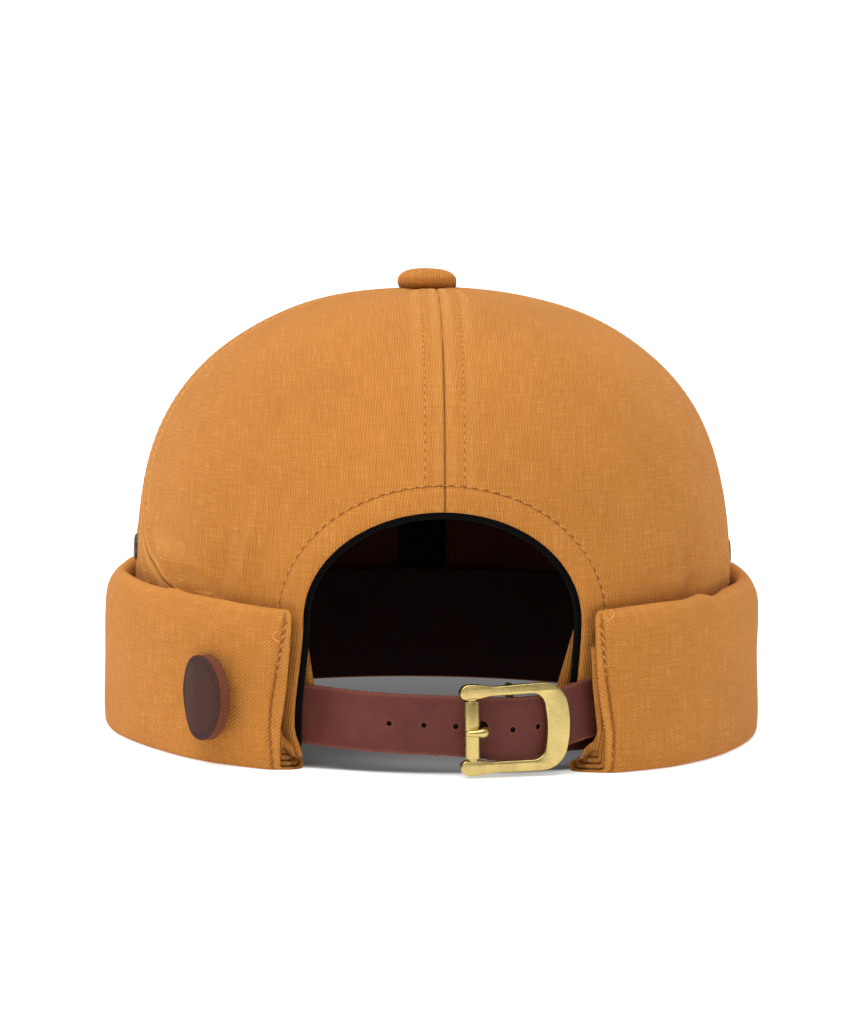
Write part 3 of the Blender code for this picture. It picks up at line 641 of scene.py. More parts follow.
# %% [markdown]
# ## Materials
#
# The cloth is a garment-dyed cotton twill: dark where the dye stays in the hollows between
# ribs, pale on the worn ridges beside seams. The strap is dyed leather with a paler raw edge,
# and the brass is cast and tumbled, so it is satin rather than polished. The patterns could be
# pictures wrapped on the pieces, but a worked-out pattern stays sharp at any distance. Cloth
# takes it from the UV map, so that the weave follows the cut, and solid stuff such as leather
# and brass from the Object coordinates, because its grain runs right through it.


# %% A material's parts
def finish(name, roughness, metallic=0.0):
    """A Principled material with its constants set, ready for its nodes."""
    material = bpy.data.materials.new(name)
    material.use_nodes = True
    shader = material.node_tree.nodes["Principled BSDF"]
    shader.inputs["Roughness"].default_value = roughness
    shader.inputs["Metallic"].default_value = metallic
    return material, material.node_tree.nodes, shader


def bump(nodes, shader, height, distance, strength=1.0):
    """Feeds a height to the shader's normal."""
    node = nodes.new("ShaderNodeBump")
    node.inputs["Distance"].default_value = distance
    node.inputs["Strength"].default_value = strength
    put(nodes, node.inputs["Height"], height)
    put(nodes, shader.inputs["Normal"], node.outputs[0])


def coordinates(nodes, kind):
    """The Object or UV coordinates."""
    return nodes.new("ShaderNodeTexCoord").outputs[kind]


def wear_and_shade_value(nodes):
    """The value that a piece's points carry: above 0 rubbed, below 0 painted shade."""
    node = nodes.new("ShaderNodeAttribute")
    node.attribute_name = "wear_and_shade"
    return node.outputs["Fac"]


print("a finish is a Principled shader")


# %% Twill
def cloth_material(name, base, dark, pale, lean, pitch=0.00078):
    """Washed cotton twill on the piece's own flat cloth."""
    material, nodes, shader = finish(name, 0.92)
    shader.inputs["Specular IOR Level"].default_value = 0.12
    shader.inputs["Sheen Weight"].default_value = 0.10
    shader.inputs["Sheen Roughness"].default_value = 0.5
    shader.inputs["Sheen Tint"].default_value = (1.0, 0.62, 0.32, 1)
    weave = use_group(nodes, WEAVE, Cloth=coordinates(nodes, "UV"), Pitch=pitch, Lean=lean)
    blotch = use_group(nodes, DYE, Place=coordinates(nodes, "Object"))["Blotch"]
    wear_and_shade = wear_and_shade_value(nodes)
    colour = blend(nodes, ramp(nodes, blotch, 0.32, 0.70), base, tuple(0.86 * c for c in base))
    colour = blend(nodes, ramp(nodes, weave["Yarn"], 0.0, 0.75, 0.38, 0.0), colour, dark)
    colour = blend(nodes, ramp(nodes, weave["Yarn"], 0.60, 1.0, 0.0, 0.20), colour, pale)
    colour = blend(nodes, ramp(nodes, weave["Slub"], 0.52, 0.72, 0.0, 0.42), colour, pale)
    colour = blend(nodes, ramp(nodes, weave["Slub"], 0.46, 0.28, 0.0, 0.40), colour, dark)
    rubbed = maths(nodes, "MULTIPLY", ramp(nodes, wear_and_shade, 0.1, 1.0), ramp(nodes, blotch, 0.3, 0.6))
    colour = blend(nodes, maths(nodes, "MULTIPLY", rubbed, 0.35), colour, pale)
    # Painted shade: where the value is below 0, the colour goes towards a deep dark ochre.
    shaded = ramp(nodes, wear_and_shade, -0.1, -1.6, 0.0, 0.85)
    colour = blend(nodes, shaded, colour, tuple(0.35 * c for c in dark))
    put(nodes, shader.inputs["Base Color"], colour)
    bump(nodes, shader, weave["Height"], 0.00022, 0.75)
    return material


OCHRE = (0.525, 0.204, 0.037)
OCHRE_DARK = (0.280, 0.082, 0.010)
OCHRE_PALE = (0.780, 0.385, 0.110)
crown_twill = cloth_material("crown_twill", OCHRE, OCHRE_DARK, OCHRE_PALE, -0.16)
cuff_twill = cloth_material("cuff_twill", OCHRE, OCHRE_DARK, OCHRE_PALE, 0.80)
# Painted shade: the crown's inner faces are the same ochre twill, darkened to the deep shade inside the
# cap.
inside_shade_twill = cloth_material(
    "inside_shade_twill", (0.090, 0.022, 0.008), (0.040, 0.009, 0.003), (0.12, 0.034, 0.012), -0.12
)
print("three cuts of twill")


# %% Tape
def tape_material():
    """Black herringbone tape."""
    material, nodes, shader = finish("black_tape", 0.95)
    weave = use_group(nodes, WEAVE, Cloth=coordinates(nodes, "UV"), Pitch=0.0006, Lean=0.7)
    shader.inputs["Specular IOR Level"].default_value = 0.08
    colour = blend(nodes, weave["Yarn"], (0.002, 0.002, 0.002), (0.008, 0.008, 0.009))
    put(nodes, shader.inputs["Base Color"], colour)
    bump(nodes, shader, weave["Height"], 0.00015, 0.8)
    return material


tape_weave = tape_material()
print("black tape")


# %% Leather
def leather_material(name, base, pale, raw, roughness, grain):
    """Dyed leather: fine grain, faint streaks, a paler raw edge where the value is above 0, and
    near-black painted shade where it is below 0.
    """
    material, nodes, shader = finish(name, roughness)
    shader.inputs["Specular IOR Level"].default_value = 0.16
    surface = use_group(nodes, LEATHER, Place=coordinates(nodes, "Object"), Grain_Scale=grain)
    grains, cloud, fibre = surface["Grain"], surface["Cloud"], surface["Fibre"]
    wear_and_shade = wear_and_shade_value(nodes)
    raw_edge = ramp(nodes, wear_and_shade, 0.2, 0.9)
    colour = blend(nodes, ramp(nodes, cloud, 0.35, 0.70), base, pale)
    colour = blend(nodes, ramp(nodes, surface["Streak"], 0.60, 0.78, 0.0, 0.35), colour, pale)
    colour = blend(nodes, ramp(nodes, grains, 1.0, 0.0, 0.0, 0.30), colour,
                   tuple(0.5 * c for c in base))
    fuzzy = blend(nodes, ramp(nodes, fibre, 0.35, 0.65), tuple(0.55 * c for c in raw), raw)
    colour = blend(nodes, raw_edge, colour, fuzzy)
    # Painted shade: below 0, inside the punched pits, the leather goes near black.
    colour = blend(nodes, ramp(nodes, wear_and_shade, -0.1, -0.9, 0.0, 0.9), colour, (0.006, 0.002, 0.002))
    put(nodes, shader.inputs["Base Color"], colour)
    rough = maths(nodes, "ADD", ramp(nodes, cloud, 0.3, 0.7, roughness - 0.06, roughness + 0.08),
                  maths(nodes, "MULTIPLY", raw_edge, 0.35))
    put(nodes, shader.inputs["Roughness"], rough)
    height = maths(nodes, "MULTIPLY_ADD", grains, 0.6, maths(nodes, "MULTIPLY", fibre, 0.5))
    rougher = maths(nodes, "MULTIPLY", maths(nodes, "MULTIPLY", fibre, raw_edge), 2.5)
    bump(nodes, shader, maths(nodes, "ADD", height, rougher), 0.00009, 0.7)
    return material


strap_leather = leather_material("strap_leather", (0.100, 0.024, 0.017), (0.142, 0.037, 0.027),
                                 (0.26, 0.085, 0.055), 0.52, 1500.0)
band_leather = leather_material("band_leather", (0.030, 0.007, 0.005), (0.045, 0.011, 0.007),
                                (0.08, 0.025, 0.016), 0.60, 1100.0)
print("leather for the straps and the band")


# %% Thread
def thread_material(name, base, dark):
    """Twisted sewing thread."""
    material, nodes, shader = finish(name, 0.75)
    place = coordinates(nodes, "Object")
    shares = noise_at(nodes, place, 3000.0, 2.0)
    put(nodes, shader.inputs["Base Color"], blend(nodes, shares, dark, base))
    bump(nodes, shader, shares, 0.00008, 0.6)
    return material


ochre_thread = thread_material("ochre_thread", (0.76, 0.36, 0.10), (0.52, 0.21, 0.045))
# Painted shade: this dark ochre goes on the discs that stand for the shade in needle holes and seam
# gaps.
needle_hole_shade = thread_material("needle_hole_shade", (0.200, 0.055, 0.008), (0.120, 0.030, 0.004))
print("thread, and the dark of a needle's hole")


# %% Patch leather
PATCH_RADIUS = 0.0115
PATCH_RING = 0.0103


def patch_material():
    """Dark leather with a dashed ring pressed into its face, and a thick raw rim."""
    material = leather_material("patch_leather", (0.044, 0.012, 0.006), (0.062, 0.019, 0.012),
                                (0.19, 0.060, 0.032), 0.70, 900.0)
    nodes = material.node_tree.nodes
    shader = nodes["Principled BSDF"]
    parts = nodes.new("ShaderNodeSeparateXYZ")
    put(nodes, parts.inputs[0], coordinates(nodes, "UV"))
    x, y = parts.outputs[0], parts.outputs[1]
    away = maths(nodes, "SQRT", maths(nodes, "ADD", maths(nodes, "MULTIPLY", x, x),
                                      maths(nodes, "MULTIPLY", y, y)))
    line = maths(nodes, "ABSOLUTE", maths(nodes, "SUBTRACT", away, PATCH_RING))
    line = ramp(nodes, line, 0.00040, 0.00018)
    turn = maths(nodes, "MULTIPLY", maths(nodes, "ARCTAN2", y, x), 20.0)
    dash = ramp(nodes, maths(nodes, "SINE", turn), -0.5, 0.1)
    ring = maths(nodes, "MULTIPLY", line, dash)
    was = shader.inputs["Base Color"].links[0].from_socket
    put(nodes, shader.inputs["Base Color"], blend(nodes, ring, was, (0.020, 0.008, 0.008)))
    return material


patch_leather = patch_material()
print("patch leather with a pressed ring")


# %% Brass
def brass_material(name, bright, dull, roughness, tarnish):
    """Cast brass, tumbled to a satin finish: scratches, and darker where it isn't rubbed."""
    material, nodes, shader = finish(name, roughness, 1.0)
    surface = use_group(nodes, CASTING, Place=coordinates(nodes, "Object"))
    scratch, speck = surface["Scratch"], surface["Speck"]
    colour = blend(nodes, ramp(nodes, surface["Cloud"], 0.38, 0.75, 0.0, tarnish), bright, dull)
    colour = blend(nodes, ramp(nodes, speck, 0.62, 0.80, 0.0, 0.5), colour, dull)
    put(nodes, shader.inputs["Base Color"], colour)
    put(nodes, shader.inputs["Roughness"],
        ramp(nodes, scratch, 0.3, 0.7, roughness - 0.05, roughness + 0.08))
    height = maths(nodes, "MULTIPLY_ADD", speck, 0.6, scratch)
    bump(nodes, shader, height, 0.00003, 0.6)
    return material


brass = brass_material("cast_brass", (0.57, 0.44, 0.165), (0.33, 0.24, 0.085), 0.30, 0.50)
dark_brass = brass_material("dark_brass", (0.11, 0.080, 0.052), (0.030, 0.022, 0.016), 0.38, 0.8)
print("brass in two ages")

# %% [markdown]
# ## The crown's panels
#
# Four panels make the crown. The front ones are plain: they reach from side seam to front
# seam. A back panel also has to stop at the arch, so its lower edge runs along the crown's
# edge, then up the side of the hem and round over the arch. Its columns fan out from that
# bent edge to the top. Near a seam the columns keep fixed distances from it, so that the
# grid is fine where the stitches pull, and they are shared out evenly between. The arch could
# also be cut out of a plain dome with a Boolean, but its edge would then be ragged triangles.

# %% Columns of a panel
SEAM_COLUMNS = (0, 0.0002, 0.0005, 0.0010, 0.0022, 0.0038, 0.0047, 0.0053, 0.0059, 0.0072, 0.0100)
COLUMNS = 100
GRAIN_TURN = -0.12


def panel_uv(angle, height, middle):
    """Where on its own flat cloth a point lies. Left panels are the right ones mirrored."""
    turn = math.copysign(1, middle) * math.remainder(angle - middle, math.tau)
    return (turn * arc_radius(middle) * dome_share(height), length_up(height))


def crown_cloth(angle, height, middle):
    """A point of crown cloth, its UV and its wear."""
    relief, rub_and_shade = crown_relief(angle, height)
    return crown_point(angle, height, relief), panel_uv(angle, height, middle), rub_and_shade


def from_seam(column, width):
    """How far a column is from the panel's first seam, where the panel is this wide."""
    edge = len(SEAM_COLUMNS) - 1
    fit = min(1.0, width / 0.040)
    if column <= edge:
        return SEAM_COLUMNS[column] * fit
    if column >= COLUMNS - edge:
        return width - SEAM_COLUMNS[COLUMNS - column] * fit
    first = SEAM_COLUMNS[-1] * fit
    return first + (width - 2 * first) * (column - edge) / (COLUMNS - 2 * edge)


print(COLUMNS, "columns, of which", len(SEAM_COLUMNS), "stand close to each seam")


# %% Front panels
def front_panel(side, rows):
    """One front panel, from its side seam to the front seam."""
    name = "front_right_cloth" if side > 0 else "front_left_cloth"
    middle = side * (math.pi - GRAIN_TURN)

    def place(column, row):
        height = height_at(CLOTH_LENGTH * row / rows)
        first = side_seam(height, side)
        width = (math.pi - first) * CROWN_HALF_DEPTH * dome_share(height)
        share = from_seam(column if side > 0 else COLUMNS - column, width) / width
        return crown_cloth(side * (first + (math.pi - first) * share), height, middle)

    piece = laid_grid(name, COLUMNS, rows, place)
    thicken(piece, CLOTH, (crown_twill, inside_shade_twill))
    shade(piece)
    dress(piece, crown_twill, "cloth", name.replace("cloth", "panel"))


for side in (-1, 1):
    front_panel(side, 110)
print("two front panels")


# %% The arch's outline
def arch_edge(widen, way, side):
    """The arch's outline on one side, as (x, height), from its foot at 0 to its top at 1."""
    half = ARCH_HALF_WIDTH + widen
    rise = ARCH_TOP - ARCH_SPRING + widen
    wall = ARCH_SPRING - CROWN_EDGE
    round_part = 0.785 * (half + rise)
    along = way * (wall + round_part)
    if along <= wall:
        height = CROWN_EDGE + along
        return half + ARCH_FLARE[side] * smooth(0.040, 0.012, height), height
    turned = math.pi / 2 * min((along - wall) / round_part, 1.0)
    return half * math.cos(turned), ARCH_SPRING + rise * math.sin(turned)


print("the arch is", round(1000 * (arch_edge(0, 0, 1)[0] + arch_edge(0, 0, -1)[0]), 1), "mm wide")


# %% Back panels
PANEL_EDGE = 0.085


def back_panel(side, rows):
    """One back panel, from its side seam to the back seam, over half of the arch."""
    name = "back_right_cloth" if side > 0 else "back_left_cloth"
    middle = side * GRAIN_TURN
    foot_x, _ = arch_edge(HEM_STITCH, 0, side)
    hem_foot = angle_across(foot_x, CROWN_EDGE)
    seam_foot = side_seam(CROWN_EDGE, side)
    edge = len(SEAM_COLUMNS) - 1
    level = edge + 8

    def foot(column):
        """Where a column stands on the panel's lower edge, as (angle, height)."""
        if column <= level:
            width = (seam_foot - hem_foot) * CROWN_HALF_WIDTH
            if column <= edge:
                off = SEAM_COLUMNS[column]
            else:
                first = SEAM_COLUMNS[-1]
                off = first + (width - first) * (column - edge) / (level - edge)
            return seam_foot - off / CROWN_HALF_WIDTH, CROWN_EDGE
        half = ARCH_HALF_WIDTH + HEM_STITCH
        rise = ARCH_TOP - ARCH_SPRING + HEM_STITCH
        if column >= COLUMNS - edge:
            x = SEAM_COLUMNS[COLUMNS - column]
            height = ARCH_SPRING + rise * math.sqrt(1 - (x / half) ** 2)
            return angle_across(x, height), height
        last_way = 1 - SEAM_COLUMNS[-1] / PANEL_EDGE
        way = last_way * (column - level) / (COLUMNS - edge - level)
        x, height = arch_edge(HEM_STITCH, way, side)
        return angle_across(x, height), height

    def place(column, row):
        own = column if side < 0 else COLUMNS - column
        foot_angle, foot_height = foot(own)
        low = length_up(foot_height)
        height = height_at(low + (CLOTH_LENGTH - low) * row / rows)
        reach = CROWN_HALF_WIDTH * dome_share(height)
        width = side_seam(height, side) * reach
        fan = side_seam(height, side) - from_seam(own, width) / reach
        if own <= edge or own >= COLUMNS - edge:
            angle = fan
        else:
            angle = foot_angle + (fan - foot_angle) * smooth(0, 0.8, row / rows)
        return crown_cloth(side * angle, height, middle)

    piece = laid_grid(name, COLUMNS, rows, place)
    thicken(piece, CLOTH, (crown_twill, inside_shade_twill))
    shade(piece)
    dress(piece, crown_twill, "cloth", name.replace("cloth", "panel"))


for side in (-1, 1):
    back_panel(side, 190)
print("two back panels")

# %% [markdown]
# ## The hem round the arch
#
# The panels' own cloth is folded under along the arch and stitched down 7 mm from the fold.
# The strip made here starts under the row of stitches, so the join with the panels is hidden
# in their dip, swells a little over the folded allowance, and turns in round the edge. It is
# a piece of its own, and not the panels' edge bent round, because its fine section has to
# follow the arch while the panels' grid follows the seams.

# %% The hem's section
HEM_COLUMNS = 360
HEM_THICKNESS = 0.0005
HALF_ARCH = 0.092
RIGHT_LEG = 0.93

# The hem's section from inside to outside: distance from the arch's edge, and out
HEM_SECTION = (
    # (widen, out)
    (0.0066, -0.0018),
    (0.0040, -0.0018),
    (0.0018, -0.0018),
    (0.0008, -0.0016),
    (0.0002, -0.0011),
    (0.0000, -0.0005),
    (0.0002, 0.0001),
    (0.0007, 0.0005),
    (0.0014, 0.00065),
    (0.0022, 0.0007),
    (0.0031, 0.0007),
    (0.0040, 0.00065),
    (0.0048, 0.0005),
    (0.0056, 0.0003),
    (0.0062, 0.0001),
    (0.0067, -0.0001),
    (0.0071, -0.0002),
)
print(len(HEM_SECTION), "points in the hem's section")


# %% Places on the arch
def angle_at(x, height, out):
    """The angle at which a point this far out from the crown's face lies at x."""
    angle = angle_across(x, height)
    for _ in range(3):
        drift = crown_point(angle, height, out).x - crown_point(angle, height, 0).x
        angle = angle_across(x - drift, height)
    return angle


def arch_station(column, columns, widen, out):
    """A place on the arch's outline: (angle, height, way). The right leg ends higher up."""
    way = 2 * column / columns - 1
    way = way * (0.80 + 0.20 * abs(way))
    side = 1 if way > 0 else -1
    foot = RIGHT_LEG if side > 0 else 1.0
    x, height = arch_edge(widen, 1 - abs(way) * foot, side)
    return side * angle_at(x, height, out), height, way


print("the right leg is", RIGHT_LEG, "of the left one's length")


# %% Hem
def make_hem():
    """The folded hem, from the left foot over the arch to the right one."""
    rows = len(HEM_SECTION) - 1

    def place(column, row):
        widen, out = HEM_SECTION[row]
        curl = smooth(0.05, 0.0, column / HEM_COLUMNS)
        widen -= 0.0022 * curl * curl
        angle, height, way = arch_station(column, HEM_COLUMNS, widen, out)
        relief, rub_and_shade = crown_relief(angle, height)
        length = abs(way) * HALF_ARCH
        front = smooth(-0.0008, 0.0002, out)
        pull = 0.5 + 0.5 * math.cos(math.tau * length / STITCH_PITCH)
        ripple = 0.00012 * noise.noise(Vector((length * 260, widen * 120, 3 * math.copysign(1, way))))
        out += front * (relief - 0.00022 * bell(widen - 0.0070, 0.0009) * pull + ripple)
        # Painted shade: dark along the row of stitches and on the part turned in behind the arch's
        # edge. Rubbing pales the fold and the ridge over the allowance.
        shadow = 0.9 * bell(widen - 0.0070, 0.0005) * front
        rubbed = bell(widen - 0.0004, 0.0007) + 0.4 * bell(widen - 0.0055, 0.0006)
        inside = 1 - smooth(-0.0016, -0.0009, out)
        side = 1 if way > 0 else -1
        uv = panel_uv(angle, height, side * GRAIN_TURN)
        return crown_point(angle, height, out), uv, min(rub_and_shade, rubbed - shadow) - inside

    piece = laid_grid("arch_hem_cloth", HEM_COLUMNS, rows, place)
    thicken(piece, HEM_THICKNESS)
    shade(piece, 60)
    dress(piece, crown_twill, "cloth", "arch_hem")


make_hem()
print("hem")

# %% [markdown]
# ## Tapes, sweatband and tabs
#
# Inside, a black tape binds the hem's edge and each seam, and a leather band runs round the
# head. They could be flat planes wrapped on the crown with a Shrinkwrap, but here they are
# strips laid by the same formula as the crown, so each keeps its clearance from it exactly.

# %% Arch tape
TAPE_THICKNESS = 0.0010


def make_arch_tape():
    """The tape behind the hem, of which a narrow edge peeks out."""
    widths = (-0.0014, -0.0012, 0.0005, 0.0030, 0.0060)

    def place(column, row):
        out = -0.0021 - 0.0001 * math.sin(column * 0.4)
        angle, height, way = arch_station(column, 200, widths[row], out)
        return crown_point(angle, height, out), (way * HALF_ARCH, widths[row]), 0.0

    piece = laid_grid("arch_tape_strip", 200, 4, place)
    thicken(piece, TAPE_THICKNESS)
    shade(piece)
    dress(piece, tape_weave, "tape", "arch_tape")


make_arch_tape()
print("arch tape")

# %% Sweatband
LINING = -CLOTH - 0.00045
BAND_THICKNESS = 0.0014


def make_sweatband():
    """The leather band inside the lower edge, from one side of the arch to the other."""
    low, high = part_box("sweatband")
    end = angle_across(ARCH_HALF_WIDTH + 0.0093, ARCH_SPRING)

    def place(column, row):
        angle = end + (math.tau - 2 * end) * column / 180
        height = low.z + (high.z - low.z) * row / 10
        wave = 0.0002 * math.sin(angle * 30) * row / 10
        return wall_point(angle, height, LINING + wave), (angle, height), 0.0

    piece = laid_grid("sweatband_leather", 180, 10, place)
    thicken(piece, BAND_THICKNESS)
    shade(piece)
    dress(piece, band_leather, "leather", "sweatband")


make_sweatband()
band_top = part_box("sweatband")[1].z
print("sweatband up to", round(1000 * band_top, 1), "mm")

# %% Seam tapes
TAPE_WIDTH = 0.0152


def make_seam_tape(name, seam, low, high):
    """The tape over a seam inside the crown, between two heights."""
    start, end = length_up(low), length_up(high)

    def place(column, row):
        height = height_at(start + (end - start) * row / 60)
        reach = arc_radius(seam(height)) * dome_share(height)
        across = TAPE_WIDTH * (column / 8 - 0.5)
        angle = seam(height) + across / max(reach, 0.0060)
        return crown_point(angle, height, LINING), (across, length_up(height)), 0.0

    piece = laid_grid(name + "_strip", 8, 60, place)
    thicken(piece, TAPE_THICKNESS)
    shade(piece)
    dress(piece, tape_weave, "tape", name)


seam_top = height_at(CLOTH_LENGTH - 0.003)
arch_clear = ARCH_TOP + 0.0078
side_top = height_at(CLOTH_LENGTH - 0.010)
make_seam_tape("front_seam_tape", lambda height: math.pi, band_top + 0.0004, seam_top)
make_seam_tape("back_seam_tape", lambda height: 0.0, arch_clear, seam_top)
make_seam_tape("right_seam_tape", lambda height: side_seam(height, 1), band_top + 0.0004, side_top)
make_seam_tape("left_seam_tape", lambda height: -side_seam(height, -1), band_top + 0.0004, side_top)
print("four seam tapes")

# %% Tabs
TAB_FOOT = 0.0100
TAB_OUT = -0.00515
TAB_THICKNESS = 0.0011


def make_tab(name, side, top_x, top, lean):
    """A cloth tab inside the arch's lower corner, from its top down behind the strap."""

    def place(column, row):
        height = TAB_FOOT + (top - TAB_FOOT) * row / 20
        across = column / 12 if side > 0 else 1 - column / 12
        x = top_x - lean * (top - height) + 0.0110 * across
        out = TAB_OUT - 0.0008 * bell(across, 0.12)
        point = wall_point(side * angle_at(x, height, out), height, out)
        # Painted shade: the tab is darker away from its edge nearest the arch, where it lies behind the
        # hem.
        return point, (side * x, height), 0.5 * bell(across, 0.2) - 0.5

    piece = laid_grid(name + "_cloth", 12, 20, place)
    thicken(piece, TAB_THICKNESS)
    shade(piece)
    dress(piece, crown_twill, "cloth", name)


make_tab("left_tab", -1, 0.0367, 0.0348, 0.17)
make_tab("right_tab", 1, 0.0360, 0.0376, 0.30)
print("two tabs")

# %% [markdown]
# ## The cuff
#
# The cuff is a band of cloth wound several times and turned up, so it is a soft fat roll with
# a rounded lip, and at the arch its two ends are stitched flat and show the rolled layers.
# It could be wound from one long sheet, but most of that cloth would never be seen and its
# layers would cut into each other. So a section is carried round the crown instead. At each
# end the section shrinks towards its own middle while it goes in and out, which leaves the
# nested ridges of a rolled cloth.

# %% The cuff's section
CUFF_STAND = 0.0087
CUFF_HEIGHT = 0.0462

# The section as shares of the stand and the height, from the foot up the outside and back down
CUFF_SECTION = (
    # (out, up)
    (0.30, 0.000),
    (0.70, 0.000),
    (0.88, 0.003),
    (0.965, 0.018),
    (1.00, 0.060),
    (1.02, 0.150),
    (1.01, 0.300),
    (0.985, 0.480),
    (1.00, 0.660),
    (1.00, 0.780),
    (0.96, 0.870),
    (0.85, 0.935),
    (0.67, 0.980),
    (0.46, 1.000),
    (0.29, 0.985),
    (0.16, 0.930),
    (0.12, 0.850),
    (0.20, 0.740),
    (0.33, 0.620),
    (0.36, 0.400),
    (0.34, 0.160),
    (0.24, 0.085),
    (-0.02, 0.062),
    (-0.12, 0.040),
    (-0.10, 0.010),
    (0.02, 0.000),
)
CUFF_AROUND = 96

print(len(CUFF_SECTION), "points in the cuff's section")

# %% The cuff's ends and swell
# Where the cuff's end is at a height, as (share of the cuff's height, x)
CUFF_END_LINE = (
    # (up, x)
    (0.00, 0.0446),
    (0.25, 0.0444),
    (0.55, 0.0426),
    (1.00, 0.0412),
)

# How the end closes: the section's size, how far the ring stands out of the end, and how
# much shade lies in it
END_ROLL = (
    # (size, out, shade)
    (0.03, -0.0022, 0.6),
    (0.15, -0.0020, 0.6),
    (0.24, -0.0018, 0.6),
    (0.29, -0.0022, 1.6),
    (0.33, -0.0022, 1.6),
    (0.39, -0.0014, 0.6),
    (0.47, -0.0011, 0.6),
    (0.53, -0.0013, 0.6),
    (0.57, -0.0019, 1.6),
    (0.61, -0.0019, 1.6),
    (0.67, -0.0009, 0.6),
    (0.75, -0.0006, 0.6),
    (0.80, -0.0009, 0.6),
    (0.83, -0.0014, 1.6),
    (0.86, -0.0013, 1.6),
    (0.91, -0.0004, 0.3),
    (0.96, 0.0000, 0.3),
    (0.99, 0.0000, 0.3),
)

# Swell from the ends to the front: share of the way, stand and height
CUFF_SWELL = (
    # (way, stand, height)
    (0.000, 0.86, 0.945),
    (0.030, 0.95, 0.950),
    (0.090, 1.00, 0.965),
    (0.300, 1.00, 0.990),
    (0.550, 1.00, 1.020),
    (0.800, 1.00, 1.000),
    (1.000, 1.00, 1.000),
)

print("each end closes in", len(END_ROLL), "rings")


# %% Smooth and even lines
def through(points, steps):
    """Points on a smooth curve through the given ones."""
    ends = [2 * points[0] - points[1], *points, 2 * points[-1] - points[-2]]
    found = []
    for p0, p1, p2, p3 in zip(ends, ends[1:], ends[2:], ends[3:]):
        for k in range(steps):
            t = k / steps
            square = (2 * p0 - 5 * p1 + 4 * p2 - p3) * t**2
            cube = (3 * p1 - p0 - 3 * p2 + p3) * t**3
            found.append(0.5 * (2 * p1 + (p2 - p0) * t + square + cube))
    return [*found, points[-1]]


def even(points, count):
    """The same line with this many points, evenly spaced."""
    lengths = [0.0]
    for low, high in zip(points, points[1:]):
        lengths.append(lengths[-1] + (high - low).length)
    found = []
    for k in range(count):
        target = lengths[-1] * k / (count - 1)
        x = interpolate(lengths, [p[0] for p in points], target)
        y = interpolate(lengths, [p[1] for p in points], target)
        found.append((x, y, target))
    return found


section_points = [Vector((o * CUFF_STAND, u * CUFF_HEIGHT)) for o, u in CUFF_SECTION]
CUFF_LOOP = even(through([*section_points, section_points[0]], 6), CUFF_AROUND + 1)

print("the section is", round(1000 * CUFF_LOOP[-1][2], 1), "mm round")


# %% Where the cuff ends
def swell_at(way):
    """The cuff's stand and height at a share of the way from its end to the front."""
    ways, stands, heights = zip(*CUFF_SWELL)
    return interpolate(ways, stands, way), interpolate(ways, heights, way)


def cuff_end_angle(height):
    """Where the cuff's right end is at a height: it leans outwards as it goes down."""
    ups, ends = zip(*CUFF_END_LINE)
    x = interpolate(ups, ends, height / CUFF_HEIGHT)
    return math.asin(x / (CROWN_HALF_WIDTH + CUFF_STAND))


def cuff_row(height, side):
    """How far in from its end the cuff is stitched."""
    return 0.0015 + (0.0008 if side > 0 else 0.0016) * bell(height - 0.020, 0.013)


CUFF_END = cuff_end_angle(CUFF_HEIGHT / 2)
print("the cuff starts", round(math.degrees(CUFF_END), 1), "degrees from the back seam")

# %% The cuff's relief
# Soft dents and swellings of the cuff's face: angle in degrees, height, width, length, depth
CUFF_DENTS = (
    # (angle, height, width, length, depth)
    (46, 0.019, 0.0011, 0.010, -0.00045),
    (48, 0.020, 0.0022, 0.012, 0.00040),
    (39, 0.036, 0.0090, 0.008, 0.00060),
    (62, 0.030, 0.0160, 0.012, -0.00050),
    (-36, 0.036, 0.0080, 0.010, 0.00060),
    (-60, 0.028, 0.0180, 0.014, -0.00050),
    (120, 0.024, 0.0200, 0.014, -0.00060),
    (-130, 0.026, 0.0200, 0.014, -0.00060),
    (175, 0.022, 0.0180, 0.014, -0.00050),
)

PATCH_ANGLE = math.radians(-41)
PATCH_HEIGHT = 0.0187


def cuff_relief(angle, height, end_distance, side):
    """How far the cuff's face stands out or in, at a place and a distance from its end.

    It bulges at the foot on the right and falls in there on the left, rises under the patch's
    free edge, and dips along the row of stitches.
    """
    spot = wall_point(angle, height, 0)
    total = 0.00055 * noise.noise(spot * 34) + 0.00018 * noise.noise(spot * 110)
    for degrees, middle, width, length, depth in CUFF_DENTS:
        across = math.remainder(angle - math.radians(degrees), math.tau) * arc_radius(angle)
        if abs(across) < 3 * width:
            total += depth * bell(across, width) * bell(height - middle, length)
    turned = math.degrees(math.remainder(angle, math.tau))
    total += 0.0018 * bell(turned - 42, 17) * smooth(0.022, 0.002, height)
    total -= 0.0012 * bell(turned + 62, 18) * smooth(0.020, 0.002, height)
    across = math.remainder(angle - PATCH_ANGLE, math.tau) * arc_radius(angle)
    total += 0.0018 * bell(across - 0.0050, 0.0060) * bell(height - PATCH_HEIGHT, 0.0100)
    total -= 0.0007 * bell(across + 0.0100, 0.0040) * bell(height - PATCH_HEIGHT, 0.0120)
    row = bell(end_distance - cuff_row(height, side), 0.0007)
    pull = 0.70 + 0.30 * math.cos(math.tau * height / STITCH_PITCH)
    return total - 0.0010 * row * pull


# Where the cuff's lip rises or falls, by degrees round from the back
LIP_WAVES = (
    # (angle, width, rise)
    (-53, 2.2, 0.0007),
    (52, 2.4, 0.0009),
    (58, 3.0, -0.0008),
    (-92, 16, -0.0010),
    (92, 14, -0.0006),
)


